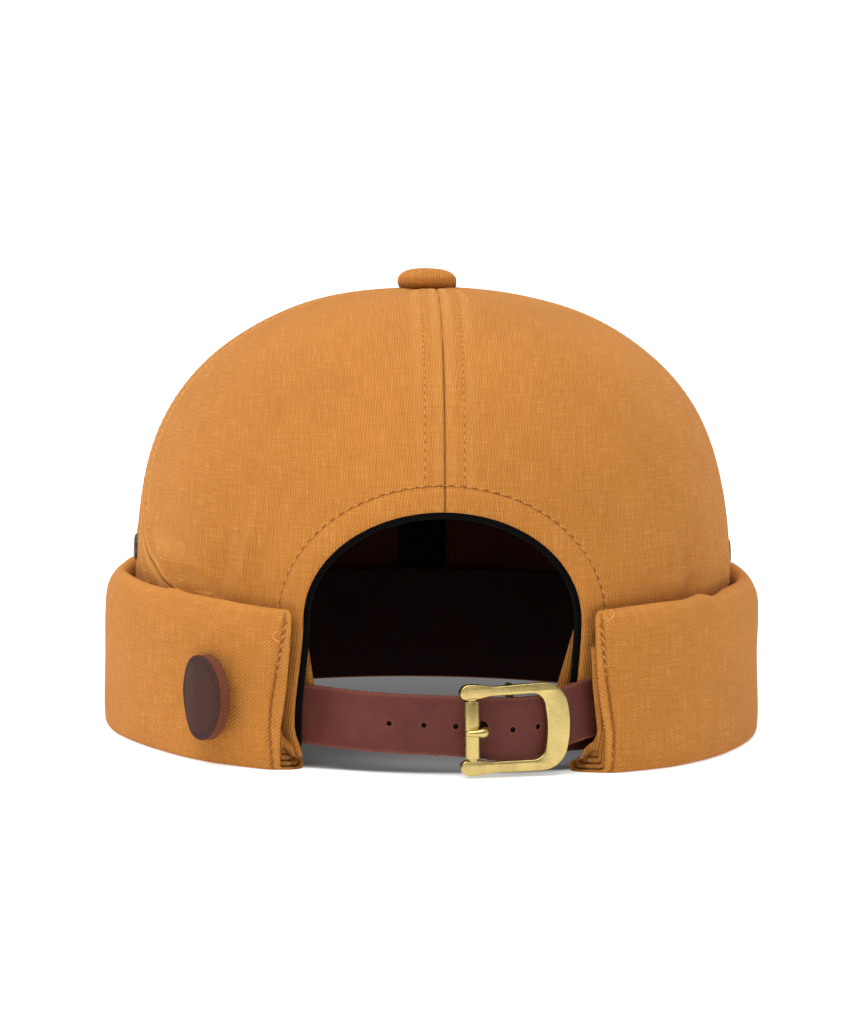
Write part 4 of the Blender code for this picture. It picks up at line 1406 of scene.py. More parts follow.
def lip_wave(angle):
    """How the cuff's upper edge rises and falls on its way round."""
    turned = math.degrees(math.remainder(angle, math.tau))
    wave = 0.0007 * noise.noise(Vector((turned / 22, 5.0, 1.0)))
    for place, width, rise in LIP_WAVES:
        wave += rise * bell(turned - place, width)
    return wave


print(len(CUFF_DENTS), "dents and swellings")

# %% The cuff's columns
CUFF_NEAR = [0.0004 * k for k in range(1, 13)] + [0.0048 + 0.0009 * k for k in range(1, 9)]
CUFF_MIDDLE = 250
FOOT_SLANT = {1: 0.0062, -1: 0.0035}
END_UNDERCUT = 0.0058


def cuff_columns():
    """Each column of the cuff: (distance from its end, size, ridge, shade, which end)."""
    closing = [(0.0, *ring, 1) for ring in END_ROLL]
    near = [(step, 1.0, 0.0, 0.0, 1) for step in CUFF_NEAR]
    middle = [(k / CUFF_MIDDLE, 1.0, 0.0, 0.0, 0) for k in range(1, CUFF_MIDDLE)]
    mirrored = [(*column[:4], -1) for column in reversed(closing + near)]
    return closing + near + middle + mirrored


def end_lead(out, up, size, distance, end):
    """How far the cuff's end reaches towards the arch.

    Its inner layers lead at the foot and draw back above it.
    """
    low = smooth(0.0125, 0.0060, 0.0060 + (up - 0.0060) * size)
    back = 1 - min(max(out / CUFF_STAND, 0.0), 1.0)
    slant = FOOT_SLANT[end] * low * (back * size + 0.6 * (1 - size))
    slant -= END_UNDERCUT * (1 - low) * back
    return slant * smooth(0.0080, 0.0, distance)


print(len(cuff_columns()), "columns round the cuff")


# %% Cuff
def make_cuff():
    """The wound cuff, from its right end round the front to its left end."""
    columns = cuff_columns()
    wall = CROWN_HALF_WIDTH + CUFF_STAND / 2
    near = CUFF_NEAR[-1] / wall

    def place(column, row):
        distance, size, ridge, shade_share, end = columns[column]
        out, up, along = CUFF_LOOP[row % CUFF_AROUND]
        first = cuff_end_angle(up)
        if end:
            lead = end_lead(out, up, size, distance, end) + ridge
            angle = end * (first + (distance - lead) / wall) % math.tau
        else:
            angle = first + near + (math.tau - 2 * (first + near)) * distance
        way = (abs(math.remainder(angle, math.tau)) - CUFF_END) / (math.pi - CUFF_END)
        stand, tall = swell_at(max(way, 0.0))
        share = up / CUFF_HEIGHT
        height = up * (1 + (tall - 1) * smooth(0.08, 0.14, share))
        height += lip_wave(angle) * smooth(0.55, 0.95, share)
        outer = smooth(0.35, 0.75, out / CUFF_STAND)
        reach = out * (1 + (stand - 1) * outer)
        end_distance = distance if end else 0.012
        side = 1 if angle < math.pi else -1
        corner = 0.0014 * (1 - smooth(0, 0.0018, end_distance))
        reach += outer * (cuff_relief(angle, height, end_distance, side) - corner)
        spine_out = CUFF_STAND * (0.45 + 0.21 * smooth(0.004, 0.012, height))
        spine_up = min(max(height, 0.006), 0.034)
        reach = spine_out + (reach - spine_out) * size
        height = spine_up + (height - spine_up) * size
        # Rubbing pales the cut end and the fold of the lip. Painted shade darkens the dip along the row
        # of stitches, the inner face against the crown, the rolled ends (most in their grooves) and
        # their drawn-back inner layers.
        rub_and_shade = 0.5 * bell(end_distance - 0.0007, 0.0006) + 0.4 * smooth(0.93, 1.0, share)
        rub_and_shade -= 1.3 * bell(end_distance - cuff_row(height, side), 0.00040) * outer
        rub_and_shade -= 0.8 * (1 - smooth(0.12, 0.30, out / CUFF_STAND)) + shade_share
        if end and up > 0.012:
            rub_and_shade -= 1.2 * (1 - smooth(0.45, 0.80, out / CUFF_STAND)) * (1 - smooth(0.90, 0.97, share))
        flat = abs(math.remainder(angle, math.tau)) * wall
        return wall_point(angle, max(height, 0.0), reach), (flat, along), rub_and_shade

    piece = laid_grid("cuff_cloth", len(columns) - 1, CUFF_AROUND, place)
    merge(piece, 1e-5)
    bpy.ops.object.mode_set(mode="EDIT")
    bpy.ops.mesh.select_all(action="DESELECT")
    bpy.ops.mesh.select_non_manifold()
    bpy.ops.mesh.edge_face_add()
    bpy.ops.object.mode_set(mode="OBJECT")
    shade(piece, 60)
    dress(piece, cuff_twill, "cloth", "cuff")


make_cuff()

# %% [markdown]
# ## Stitches
#
# A stitch is a short length of thread that comes up out of one needle hole and goes down into
# the next, pulled tight so that it is half sunk in the cloth. A row could be drawn in the
# cloth's material, but a drawn stitch catches no light, so one is modelled, with few faces,
# and copied along each row. A small dark disc paints the shade in each hole, and the same
# disc, stretched, paints the shade in the gaps between the stitches that close the back seam.

# %% One stitch and the painted shade of a needle hole
STITCH_LENGTH = 0.0018
THREAD_RADIUS = 0.00015


def model_stitch():
    """A stitch along +X: a thread that bends down at both ends."""
    deselect()
    bpy.ops.mesh.primitive_cylinder_add(vertices=6, radius=THREAD_RADIUS, depth=STITCH_LENGTH)
    piece = rename(bpy.context.object, "stitch_model")
    bpy.ops.object.mode_set(mode="EDIT")
    cut_across([(0, 0, cut * STITCH_LENGTH) for cut in (-0.36, -0.18, 0.0, 0.18, 0.36)])
    bpy.ops.object.mode_set(mode="OBJECT")
    for vertex in piece.data.vertices:
        along = vertex.co.z
        share = abs(2 * along / STITCH_LENGTH)
        thin = 1.0 - 0.45 * share**3
        sink = 0.00042 * share**3
        vertex.co = (along, vertex.co.y * thin, vertex.co.x * thin - sink)
    return piece


def model_hole_shade():
    """The painted shade of a needle hole: a flat dark disc a little above the cloth."""
    deselect()
    bpy.ops.mesh.primitive_circle_add(vertices=8, radius=0.00021, fill_type="NGON")
    piece = rename(bpy.context.object, "hole_shade_model")
    for vertex in piece.data.vertices:
        vertex.co.z = 0.00007
    return piece


stitch_model = model_stitch()
hole_shade_model = model_hole_shade()

print("a stitch has", len(stitch_model.data.polygons), "faces")


# %% Copies in place
def set_copies(name, model, places, material):
    """Copies of a model at each place (a matrix), joined into one piece."""
    copies = []
    for place in places:
        copy = bpy.data.objects.new(name, model.data.copy())
        copy.data.transform(place)
        bpy.context.scene.collection.objects.link(copy)
        copies.append(copy)
    piece = join(name, copies)
    shade(piece)
    dress(piece, material, "cloth")


def frame_at(point, along, normal):
    """A matrix with X along the row and Z out of the cloth."""
    along = along.normalized()
    across = normal.cross(along).normalized()
    matrix = Matrix((along, across, along.cross(across))).transposed().to_4x4()
    matrix.translation = point
    return matrix


print("each copy has its own mesh")


# %% Places along a row
def row_places(line, pitch, lean=0.0):
    """Places for stitches and for the painted shade of their holes along a line that gives its point
    and normal.
    """
    stitches = []
    holes = []
    length = line.start
    while length < line.end:
        point, normal = line.at(length)
        ahead, _ = line.at(length + 0.0004)
        turn = Matrix.Rotation(lean, 3, normal)
        stitches.append(frame_at(point, turn @ (ahead - point), normal))
        point, normal = line.at(length + pitch / 2)
        ahead, _ = line.at(length + pitch / 2 + 0.0004)
        holes.append(frame_at(point, ahead - point, normal))
        length += pitch
    return stitches, holes


print("a stitch every", 1000 * STITCH_PITCH, "mm")


# %% Rows beside the seams
class SeamRow:
    """A row beside a seam of the crown, at a distance from it."""

    def __init__(self, seam, offset, start, end):
        self.seam = seam
        self.offset = offset
        self.start = start
        self.end = end

    def at(self, length):
        height = height_at(length)
        reach = arc_radius(self.seam(height)) * dome_share(height)
        step = 0.0005
        slant = (self.seam(height + step) - self.seam(height - step)) / (2 * step) * reach
        angle = self.seam(height) + self.offset * math.hypot(1, slant) / reach
        relief, _ = crown_relief(angle, height)
        return crown_point(angle, height, relief), crown_normal(angle, height)


row_end = CLOTH_LENGTH - 0.0120
under_cuff = length_up(0.040)
rows = []
for offset in (-SEAM_ROW, SEAM_ROW):
    rows.append(SeamRow(lambda height: 0.0, offset, length_up(ARCH_TOP + 0.0005), row_end))
    rows.append(SeamRow(lambda height: math.pi, offset, under_cuff, row_end))
    rows.append(SeamRow(lambda height: side_seam(height, 1), offset, under_cuff, row_end))
    rows.append(SeamRow(lambda height: -side_seam(height, -1), offset, under_cuff, row_end))
print(len(rows), "rows beside the seams")


# %% Row round the arch
ARCH_ROW_LENGTH = 0.1745


class ArchRow:
    """The row that holds the hem down."""

    def __init__(self):
        self.start = 0.0
        self.end = ARCH_ROW_LENGTH

    def at(self, length):
        way = 2 * length / ARCH_ROW_LENGTH - 1
        side = 1 if way > 0 else -1
        x, height = arch_edge(HEM_STITCH, 1 - abs(way), side)
        angle = side * angle_across(x, height)
        relief, _ = crown_relief(angle, height)
        return crown_point(angle, height, relief - 0.00005), crown_normal(angle, height)


rows.insert(0, ArchRow())
print("the row round the arch is", round(1000 * ARCH_ROW_LENGTH), "mm long")


# %% Rows at the cuff's ends
CUFF_HALF_WAY = 0.27


class CuffRow:
    """The row that closes one of the cuff's ends."""

    def __init__(self, side):
        self.side = side
        self.start = 0.0035
        self.end = CUFF_HEIGHT * 0.90

    def at(self, height):
        loop = [row for row in CUFF_LOOP if row[0] > 0.5 * CUFF_STAND and row[1] < 0.95 * CUFF_HEIGHT]
        ups = [row[1] for row in loop]
        outs = [row[0] for row in loop]
        reach = interpolate(ups, outs, height)
        row = cuff_row(height, self.side)
        angle = cuff_end_angle(height) + row / (CROWN_HALF_WIDTH + CUFF_STAND / 2)
        stand, tall = swell_at(row / CUFF_HALF_WAY)
        relief = cuff_relief(self.side * angle, height * tall, row, self.side)
        point = wall_point(self.side * angle, height * tall, reach * stand + relief)
        return point, wall_normal(self.side * angle)


print("the rows stand", round(1000 * cuff_row(0.02, 1), 1), "mm in from the right end")

# %% Setting the stitches
SEAM_GAP_PITCH = 0.00175

all_stitches = []
all_hole_shades = []
for row in rows:
    stitches, holes = row_places(row, STITCH_PITCH, 0.16)
    all_stitches += stitches
    all_hole_shades += holes
# Painted shade in the gaps of the back seam: the hole's dark disc, stretched.
gap_shape = Matrix.Diagonal((2.0, 0.8, 1, 1))
back_seam = SeamRow(lambda height: 0.0, 0.0, length_up(ARCH_TOP + 0.0010), length_up(0.1120))
gaps, _ = row_places(back_seam, SEAM_GAP_PITCH)
all_hole_shades += [gap @ gap_shape for gap in gaps]
for side in (-1, 1):
    stitches, holes = row_places(CuffRow(side), STITCH_PITCH, side * 0.35)
    all_stitches += stitches
    all_hole_shades += holes
set_copies("topstitching", stitch_model, all_stitches, ochre_thread)
set_copies("needle_hole_shades", hole_shade_model, all_hole_shades, needle_hole_shade)
for model in (stitch_model, hole_shade_model):
    bpy.data.objects.remove(model)
print(len(all_stitches), "stitches")

# %% [markdown]
# ## Loose thread ends
#
# Where a row ends, the sewing leaves a short tail of thread that curls. It could be a hair
# strand, but a hair isn't exported, so it is a thin tube along a bent line. The same tube
# makes the buckle's bars and its prong further on.


# %% Tubes
def new_curve(points):
    """A new curve with one line through points, as its data and its line."""
    deselect()
    bpy.ops.curve.primitive_bezier_curve_add()
    data = bpy.context.object.data
    data.splines.clear()
    spline = data.splines.new("POLY")
    spline.points.add(len(points) - 1)
    for spot, point in zip(spline.points, points):
        spot.co = (*point, 1)
    return data, spline


def curve_to_mesh(name):
    """Makes the new curve a mesh with a name."""
    bpy.ops.object.convert(target="MESH")
    piece = rename(bpy.context.object, name)
    merge(piece)
    return piece


def tube(name, points, radii, resolution=2):
    """A round tube along points, whose radius may change."""
    data, spline = new_curve(points)
    for spot, radius in zip(spline.points, radii):
        spot.radius = radius
    data.dimensions = "3D"
    data.bevel_depth = 1.0
    data.bevel_resolution = resolution
    data.use_fill_caps = True
    return curve_to_mesh(name)


print("a tube follows its points")


# %% Loose thread ends
def thread_tail(name, angle, height, lean):
    """A short loose end of thread at the top of a cuff's end."""
    turn = math.radians(angle)
    points = []
    for k in range(12):
        t = k / 11
        sway = lean * (t - 0.9 * t * t)
        out = CUFF_STAND * 0.98 + 0.0006 + 0.0010 * math.sin(math.pi * t)
        points.append(wall_point(turn + sway, height + 0.0030 * t, out))
    piece = tube(name, points, [THREAD_RADIUS * (1 - 0.4 * (k / 11)) for k in range(12)])
    shade(piece)
    dress(piece, ochre_thread, "cloth")


thread_tail("right_thread_tail", 26.9, 0.0418, 0.04)
thread_tail("left_thread_tail", -26.7, 0.0352, -0.05)
print("thread tails")

# %% [markdown]
# ## The button
#
# A metal button covered with the crown's cloth: nearly flat on top, round at its rim, and
# gathered underneath. A flattened ball would be pointed at its rim, and a cylinder too sharp,
# so a ball is pushed into that shape, point by point.

# %% Button
BUTTON_RADIUS = 0.0087


def make_button():
    """The cloth-covered button."""
    low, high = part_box("top_button")
    middle = (low + high) / 2
    deselect()
    bpy.ops.mesh.primitive_uv_sphere_add(segments=56, ring_count=30, radius=1)
    piece = rename(bpy.context.object, "top_button_cloth")
    wear_and_shade = piece.data.attributes.new("wear_and_shade", "FLOAT", "POINT")
    base = CROWN_HEIGHT - 0.0004
    tall = high.z - base + 0.0003
    flat = {}
    for vertex in piece.data.vertices:
        x, y, z = vertex.co
        away = math.hypot(x, y)
        turn = math.atan2(y, x)
        if z >= 0:
            radial = BUTTON_RADIUS * away**0.80
            height = 0.36 + 0.64 * z**0.80
        else:
            radial = BUTTON_RADIUS * away**0.16 if z > -0.95 else BUTTON_RADIUS * away**0.5
            height = 0.36 * (1 + z)
            radial += 0.00012 * math.sin(9 * turn + 1.3) * smooth(0, 0.8, -z)
        height += 0.012 * noise.noise(Vector((x * 2, y * 2, 7)))
        vertex.co = (middle.x - 0.0007 + radial * math.cos(turn),
                     middle.y + radial * math.sin(turn), base + tall * height)
        # Painted shade on the button's underside; rubbing pales its rim.
        wear_and_shade.data[vertex.index].value = 0.3 * bell(away - 0.9, 0.1) - 1.1 * smooth(-0.25, 0.5, -z)
        flat[vertex.index] = (radial * math.cos(turn), radial * math.sin(turn) - tall * height)
    set_uv(piece, flat)
    shade(piece, 180)
    dress(piece, crown_twill, "cloth", "top_button")


make_button()
print("button")

# %% [markdown]
# ## Eyelets
#
# Four brass vent eyelets are pressed through the sides: a domed ring outside, a barrel and a
# washer inside. A torus would lack the barrel, so one eyelet is spun from its section and
# copied to the others' places, each turned square to the crown.

# %% One eyelet
EYELET_SECTION = (
    # (radius, out)
    (0.0019, -0.0020),
    (0.0019, 0.0008),
    (0.0021, 0.0012),
    (0.0026, 0.0014),
    (0.0032, 0.0013),
    (0.0037, 0.0010),
    (0.0040, 0.0004),
    (0.0039, 0.0000),
    (0.0025, 0.0000),
    (0.0025, -0.0024),
    (0.0036, -0.0025),
    (0.0035, -0.0029),
    (0.0021, -0.0028),
)


def model_eyelet():
    """An eyelet round Z, spun from its section."""
    deselect()
    bpy.ops.mesh.primitive_circle_add(vertices=len(EYELET_SECTION), radius=1)
    piece = rename(bpy.context.object, "eyelet_model")
    for vertex, (radius, out) in zip(piece.data.vertices, EYELET_SECTION):
        vertex.co = (radius, 0, out)
    bpy.ops.object.mode_set(mode="EDIT")
    bpy.ops.mesh.select_all(action="SELECT")
    bpy.ops.mesh.spin(steps=36, angle=math.tau, center=(0, 0, 0), axis=(0, 0, 1))
    bpy.ops.object.mode_set(mode="OBJECT")
    merge(piece)
    return piece


eyelet_model = model_eyelet()
print("an eyelet has", len(eyelet_model.data.polygons), "faces")

# %% Four eyelets
for node in ("left_rear", "left_front", "right_rear", "right_front"):
    low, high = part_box("eyelet_" + node)
    middle = (low + high) / 2
    angle = math.atan2(middle.x / CROWN_HALF_WIDTH, -(middle.y - CENTRE_Y) / CROWN_HALF_DEPTH)
    height = middle.z + 0.0004
    relief, _ = crown_relief(angle, height)
    seat = crown_point(angle, height, relief - 0.0005)
    facing = crown_normal(angle, height)
    copy = bpy.data.objects.new("vent_" + node, eyelet_model.data.copy())
    bpy.context.scene.collection.objects.link(copy)
    copy.data.transform(Matrix.Translation(seat) @ facing.to_track_quat("Z", "Y").to_matrix().to_4x4())
    rename(copy, "vent_" + node)
    shade(copy)
    dress(copy, dark_brass, "aged_brass", "eyelet_" + node)
bpy.data.objects.remove(eyelet_model)
print("four eyelets")

# %% [markdown]
# ## The leather patch
#
# A stiff flat disc of thick leather is sewn to the curved cuff, so it doesn't bend with it:
# it lies close on its left and stands off on its right, where its raw fuzzy rim shows. Its
# face carries only a dashed ring pressed in near the edge. A cylinder with ringed faces gives
# points enough for the ring and the rough rim, which a plain disc wouldn't.

# %% Patch disc
PATCH_THICKNESS = 0.0034
PATCH_TILT = math.radians(17)
PATCH_TURN = math.radians(1.7)
PATCH_OUT = 0.0035


def ease_edges(piece, width):
    """Adds a small bevel to a piece's sharp edges."""
    modifier = piece.modifiers.new("eased edges", "BEVEL")
    modifier.width = width
    modifier.segments = 2
    modifier.limit_method = "ANGLE"
    modifier.angle_limit = math.radians(60)


def model_patch():
    """A bevelled disc whose face and rim have rings of points."""
    deselect()
    bpy.ops.mesh.primitive_cylinder_add(vertices=96, radius=PATCH_RADIUS, depth=PATCH_THICKNESS)
    piece = rename(bpy.context.object, "round_patch")
    bpy.ops.object.mode_set(mode="EDIT")
    for inset in (0.0004, 0.0006, 0.0006, 0.0022, 0.0030, 0.0025):
        bpy.ops.mesh.select_all(action="DESELECT")
        bpy.ops.object.mode_set(mode="OBJECT")
        faces = [face for face in piece.data.polygons if face.normal.z > 0.9 and len(face.vertices) > 4]
        faces[0].select = True
        bpy.ops.object.mode_set(mode="EDIT")
        bpy.ops.mesh.inset(thickness=inset)
    cut_across([(0, 0, cut * PATCH_THICKNESS) for cut in (-0.35, -0.12, 0.12, 0.35)])
    bpy.ops.object.mode_set(mode="OBJECT")
    ease_edges(piece, 0.0003)
    apply_modifiers(piece)
    return piece


patch = model_patch()
print("the disc has", len(patch.data.polygons), "faces")


# %% Patch on the cuff
def seat_patch(piece):
    """Gives the disc its rough rim and its ring, and tilts it off the cuff."""
    wear_and_shade = piece.data.attributes.new("wear_and_shade", "FLOAT", "POINT")
    flat = {}
    angle = PATCH_ANGLE + PATCH_TURN
    seat = wall_point(angle, PATCH_HEIGHT, CUFF_STAND)
    up = Vector((0, 0, 1))
    out = Matrix.Rotation(-PATCH_TILT, 3, up) @ wall_normal(angle)
    along = up.cross(out)
    place = Matrix((along, up, out)).transposed().to_4x4()
    place.translation = seat + out * PATCH_OUT
    for vertex in piece.data.vertices:
        x, y, z = vertex.co
        away = math.hypot(x, y)
        raw = smooth(0.0111, 0.01145, away) * (1 - smooth(0.0010, 0.0016, z))
        wear_and_shade.data[vertex.index].value = raw
        flat[vertex.index] = (x, y)
        rough = 0.00034 * noise.noise(Vector((x, y, z)) * 1300) * raw
        ring = -0.00030 * bell(away - PATCH_RING, 0.0004) if z > 0.0012 else 0.0
        dome = -0.0003 * (away / PATCH_RADIUS) ** 2
        dome -= 0.0011 * smooth(0.0, -0.0115, x) ** 2
        stretch = 1 + (rough + 0.0002 * math.sin(3 * math.atan2(y, x))) / PATCH_RADIUS
        vertex.co = place @ Vector((x * stretch, y * stretch, z + ring + dome))
    set_uv(piece, flat)
    shade(piece, 50)
    dress(piece, patch_leather, "patch_leather", "leather_patch")


seat_patch(patch)
print("the patch is tilted", round(math.degrees(PATCH_TILT)), "degrees off the cuff")

# %% [markdown]
# ## Straps
#
# A strap is cut flat, punched, and has its edges eased, and only then is it bent. It could be
# bent first and punched after, but the holes would come out slanted. So the real order is kept
# here: a flat bar with its holes cut by a Boolean and its edges bevelled, then carried along
# its route. The holes are pits that stop short of the strap's back, because daylight from the
# floor would show through open ones, and in the picture they are dark. The edges are marked as
# raw, for the paler cut leather.
# The pits' insides are painted with near-black shade.

# %% The long strap's way
STRAP_WIDTH = 0.0160
STRAP_THICKNESS = 0.0016
SEWN_DEPTH = 0.00405
HOLE_RADIUS = 0.00075

# The long strap's way as shares of the arch's half width, the sewn depth and the cuff's height
LONG_STRAP_ROUTE = (
    # (across, out, height)
    (-1.280, -1.00, 0.310),
    (-1.067, -1.00, 0.309),
    (-0.933, -0.99, 0.308),
    (-0.800, -0.64, 0.306),
    (-0.560, -0.17, 0.302),
    (-0.267, 0.12, 0.298),
    (0.000, 0.27, 0.295),
    (0.213, 0.32, 0.288),
    (0.496, 0.59, 0.279),
    (0.747, 0.52, 0.300),
    (0.880, 0.49, 0.342),
    (1.027, 0.42, 0.371),
    (1.200, 0.42, 0.398),
    (1.387, 0.42, 0.418),
)
STRAP_HOLES = (-0.376, -0.133, 0.091, 0.496, 0.675)
print(len(STRAP_HOLES), "punched holes and one for the prong")


# %% A route
class Route:
    """A smooth line that can be asked for its point and direction at a length."""

    def __init__(self, points):
        self.points = through(points, 8)
        self.lengths = [0.0]
        for low, high in zip(self.points, self.points[1:]):
            self.lengths.append(self.lengths[-1] + (high - low).length)
        self.length = self.lengths[-1]

    def at(self, length):
        parts = [[p[k] for p in self.points] for k in range(3)]
        return Vector([interpolate(self.lengths, part, length) for part in parts])

    def turned(self, length, up):
        """The point and the outward direction at a length."""
        ahead = self.at(length + 0.0008) - self.at(length - 0.0008)
        return self.at(length), ahead.cross(up).normalized()

    def length_at_x(self, x):
        """The length at which the line crosses x, for a line that goes towards +X."""
        return interpolate([p.x for p in self.points], self.lengths, x)


print("a route is measured by its length")


# %% A flat punched bar
HOLE_SHIFT = 1.7


def punch_strap(name, length, width, thickness, holes):
    """A flat bar with a pit at each hole, given as (length, half length, half width)."""
    deselect()
    bpy.ops.mesh.primitive_cube_add(size=1)
    piece = rename(bpy.context.object, name)
    for vertex in piece.data.vertices:
        x, y, z = vertex.co
        vertex.co = ((x + 0.5) * length, y * thickness, z * width)
    cutters = []
    for at, half_length, half_width in holes:
        deselect()
        bpy.ops.mesh.primitive_cylinder_add(vertices=28, radius=1, depth=4 * thickness)
        cutter = bpy.context.object
        for vertex in cutter.data.vertices:
            x, y, z = vertex.co
            vertex.co = (at + x * half_length, -z - HOLE_SHIFT * thickness, y * half_width)
        modifier = piece.modifiers.new("hole", "BOOLEAN")
        modifier.object = cutter
        modifier.operation = "DIFFERENCE"
        cutters.append(cutter)
    ease_edges(piece, 0.0003)
    apply_modifiers(piece)
    for cutter in cutters:
        bpy.data.objects.remove(cutter)
    pick(piece)
    bpy.ops.object.mode_set(mode="EDIT")
    count = int(length / 0.0006)
    cut_across([(length * k / count, 0, 0) for k in range(1, count)], (1, 0, 0))
    cut_across([(0, 0, width * (k / 12 - 0.5)) for k in range(1, 12)])
    bpy.ops.object.mode_set(mode="OBJECT")
    return piece


print("a hole reaches", round(100 * (0.5 + 2 - HOLE_SHIFT)), "% of the way through")


# %% A bent strap
def make_strap(name, route, width, thickness, holes, up, node, pressed=None):
    """A punched strap, bent along its route.

    Where it is pressed in the buckle, at a length, the leather spreads a little.
    """
    piece = punch_strap(name, route.length, width, thickness, holes)
    wear_and_shade = piece.data.attributes.new("wear_and_shade", "FLOAT", "POINT")
    for vertex in piece.data.vertices:
        x, y, z = vertex.co
        edge = smooth(width / 2 - 0.00030, width / 2 - 0.00008, abs(z))
        rim = 0.0
        pit = 0.0
        for length, half_length, half_width in holes:
            off = math.hypot((x - length) / half_length, z / half_width)
            rim = max(rim, 0.6 * smooth(1.75, 1.25, off) * smooth(0.0, 0.0006, -y))
            if off < 1.05 and abs(y) < 0.45 * thickness:
                pit = 1.0
        # Painted shade: a pit's inside is set below 0, to go near black; the raw edges and the rims
        # round the holes are raw leather.
        wear_and_shade.data[vertex.index].value = -pit if pit else max(0.7 * edge, rim)
        fray = 0.00018 * noise.noise(Vector((x * 700, 0, math.copysign(3, z)))) * edge
        if pressed:
            spread = bell(x - pressed, 0.0095)
            z = z * (1 + 0.07 * spread) - 0.0003 * spread
        point, outward = route.turned(x, up)
        flat = 0.00010 * noise.noise(Vector((x * 60, z * 40, 2)))
        lip = 0.00012 * rim
        vertex.co = point + outward * (-y + flat + lip) + up * (z + fray)
    shade(piece, 35)
    dress(piece, strap_leather, "leather", node)


print("the leather is", 1000 * STRAP_THICKNESS, "mm thick")


# %% Long strap
def route_row(across, out, height):
    """A point of a strap's route, from shares."""
    angle = angle_across(across * ARCH_HALF_WIDTH, 0)
    return wall_point(angle, height * CUFF_HEIGHT, out * SEWN_DEPTH)


long_route = Route([route_row(*row) for row in LONG_STRAP_ROUTE])
upright = Vector((0, 0, 1))
TOE_BAR_U = -0.0122
BUCKLE_ACROSS = 0.496 * ARCH_HALF_WIDTH
punched = [(long_route.length_at_x(s * ARCH_HALF_WIDTH), HOLE_RADIUS, HOLE_RADIUS)
           for s in STRAP_HOLES]
prong_place = long_route.length_at_x(BUCKLE_ACROSS + 0.645 * TOE_BAR_U)
punched.append((prong_place, 0.0014, 0.0019))
make_strap("punched_strap", long_route, STRAP_WIDTH, STRAP_THICKNESS, punched, upright,
           "long_strap", long_route.length_at_x(BUCKLE_ACROSS))
print("long strap", round(long_route.length, 4))

# %% [markdown]
# ## The buckle
#
# The buckle is cast in one piece: a flat frame, open at its toe where two lobes hold the
# roller's bar, with a hidden bar across its middle that the short strap and the prong hang on.
# It hangs a little lower at its toe. The frame could be a bent round bar, but a cast one is
# flat and swells at its lobes, so its outline is a filled flat curve, made thick and
# round-edged in one go. The prong is a tube whose radius changes.

# %% Where the buckle hangs
BUCKLE_HEIGHT = 0.0134
BUCKLE_TILT = math.radians(1.9)
FRAME_OUT = 0.0029
FRAME_THICKNESS = 0.0020
FRAME_MIDDLE = FRAME_OUT + FRAME_THICKNESS / 2
ROLLER_RADIUS = 0.0021
CENTRE_BAR_RADIUS = 0.0011
CENTRE_BAR_OUT = -0.0017
PRONG_RADIUS = 0.0008
GAP = 0.0003

seat_angle = angle_across(BUCKLE_ACROSS, 0)
buckle_seat = wall_point(seat_angle, BUCKLE_HEIGHT, 0)
buckle_out = wall_normal(seat_angle)
buckle_up = Matrix.Rotation(BUCKLE_TILT, 3, buckle_out) @ upright
buckle_along = buckle_up.cross(buckle_out)
BUCKLE = Matrix((buckle_along, buckle_up, buckle_out)).transposed().to_4x4()
BUCKLE.translation = buckle_seat
strap_middle = long_route.at(long_route.length_at_x(BUCKLE_ACROSS)).z - BUCKLE_HEIGHT
print("the strap runs", round(-1000 * strap_middle, 1), "mm below the buckle's middle")


# %% Short strap
def make_short_strap():
    """The strap that holds the buckle: from inside the right hem, round the bar and back."""
    thickness = 0.0014
    height = strap_middle + BUCKLE_HEIGHT - 0.0004
    points = []
    for share in (1.280, 1.067, 0.880):
        angle = angle_across(share * ARCH_HALF_WIDTH, 0)
        points.append(wall_point(angle, height, -SEWN_DEPTH))
    turn = CENTRE_BAR_RADIUS + GAP + thickness / 2
    up = height - BUCKLE_HEIGHT
    local = [(along, CENTRE_BAR_OUT - turn) for along in (0.0075, 0.0045, 0.0015)]
    for k in range(9):
        turned = math.pi * (1.5 - k / 8)
        local.append((turn * math.cos(turned), CENTRE_BAR_OUT + turn * math.sin(turned)))
    lap = CENTRE_BAR_OUT - turn + thickness + GAP
    top = CENTRE_BAR_OUT + turn
    local += [(0.0014, top), (0.0036, (2 * top + lap) / 3), (0.0064, lap), (0.0110, lap)]
    points += [BUCKLE @ Vector((along, up, out)) for along, out in local]
    route = Route(points)
    slot = route.lengths[8 * 9]
    make_strap("buckle_strap", route, 0.0150, thickness, [(slot, 0.0048, 0.0014)], buckle_up,
               "short_strap")


make_short_strap()
print("short strap")


# %% Rounded corners
def rounded(outline, steps):
    """The points of an outline of (x, y, radius) corners, each corner made an arc."""
    points = []
    for k, (x, y, radius) in enumerate(outline):
        corner = Vector((x, y))
        back = (Vector(outline[k - 1][:2]) - corner).normalized()
        ahead = (Vector(outline[(k + 1) % len(outline)][:2]) - corner).normalized()
        half = back.angle(ahead) / 2
        centre = corner + (back + ahead).normalized() * radius / math.sin(half)
        first = corner + back * radius / math.tan(half) - centre
        last = corner + ahead * radius / math.tan(half) - centre
        sweep = math.remainder(math.atan2(last.y, last.x) - math.atan2(first.y, first.x), math.tau)
        for step in range(steps + 1):
            points.append(centre + Matrix.Rotation(sweep * step / steps, 2) @ first)
    return points


print("each corner becomes an arc")

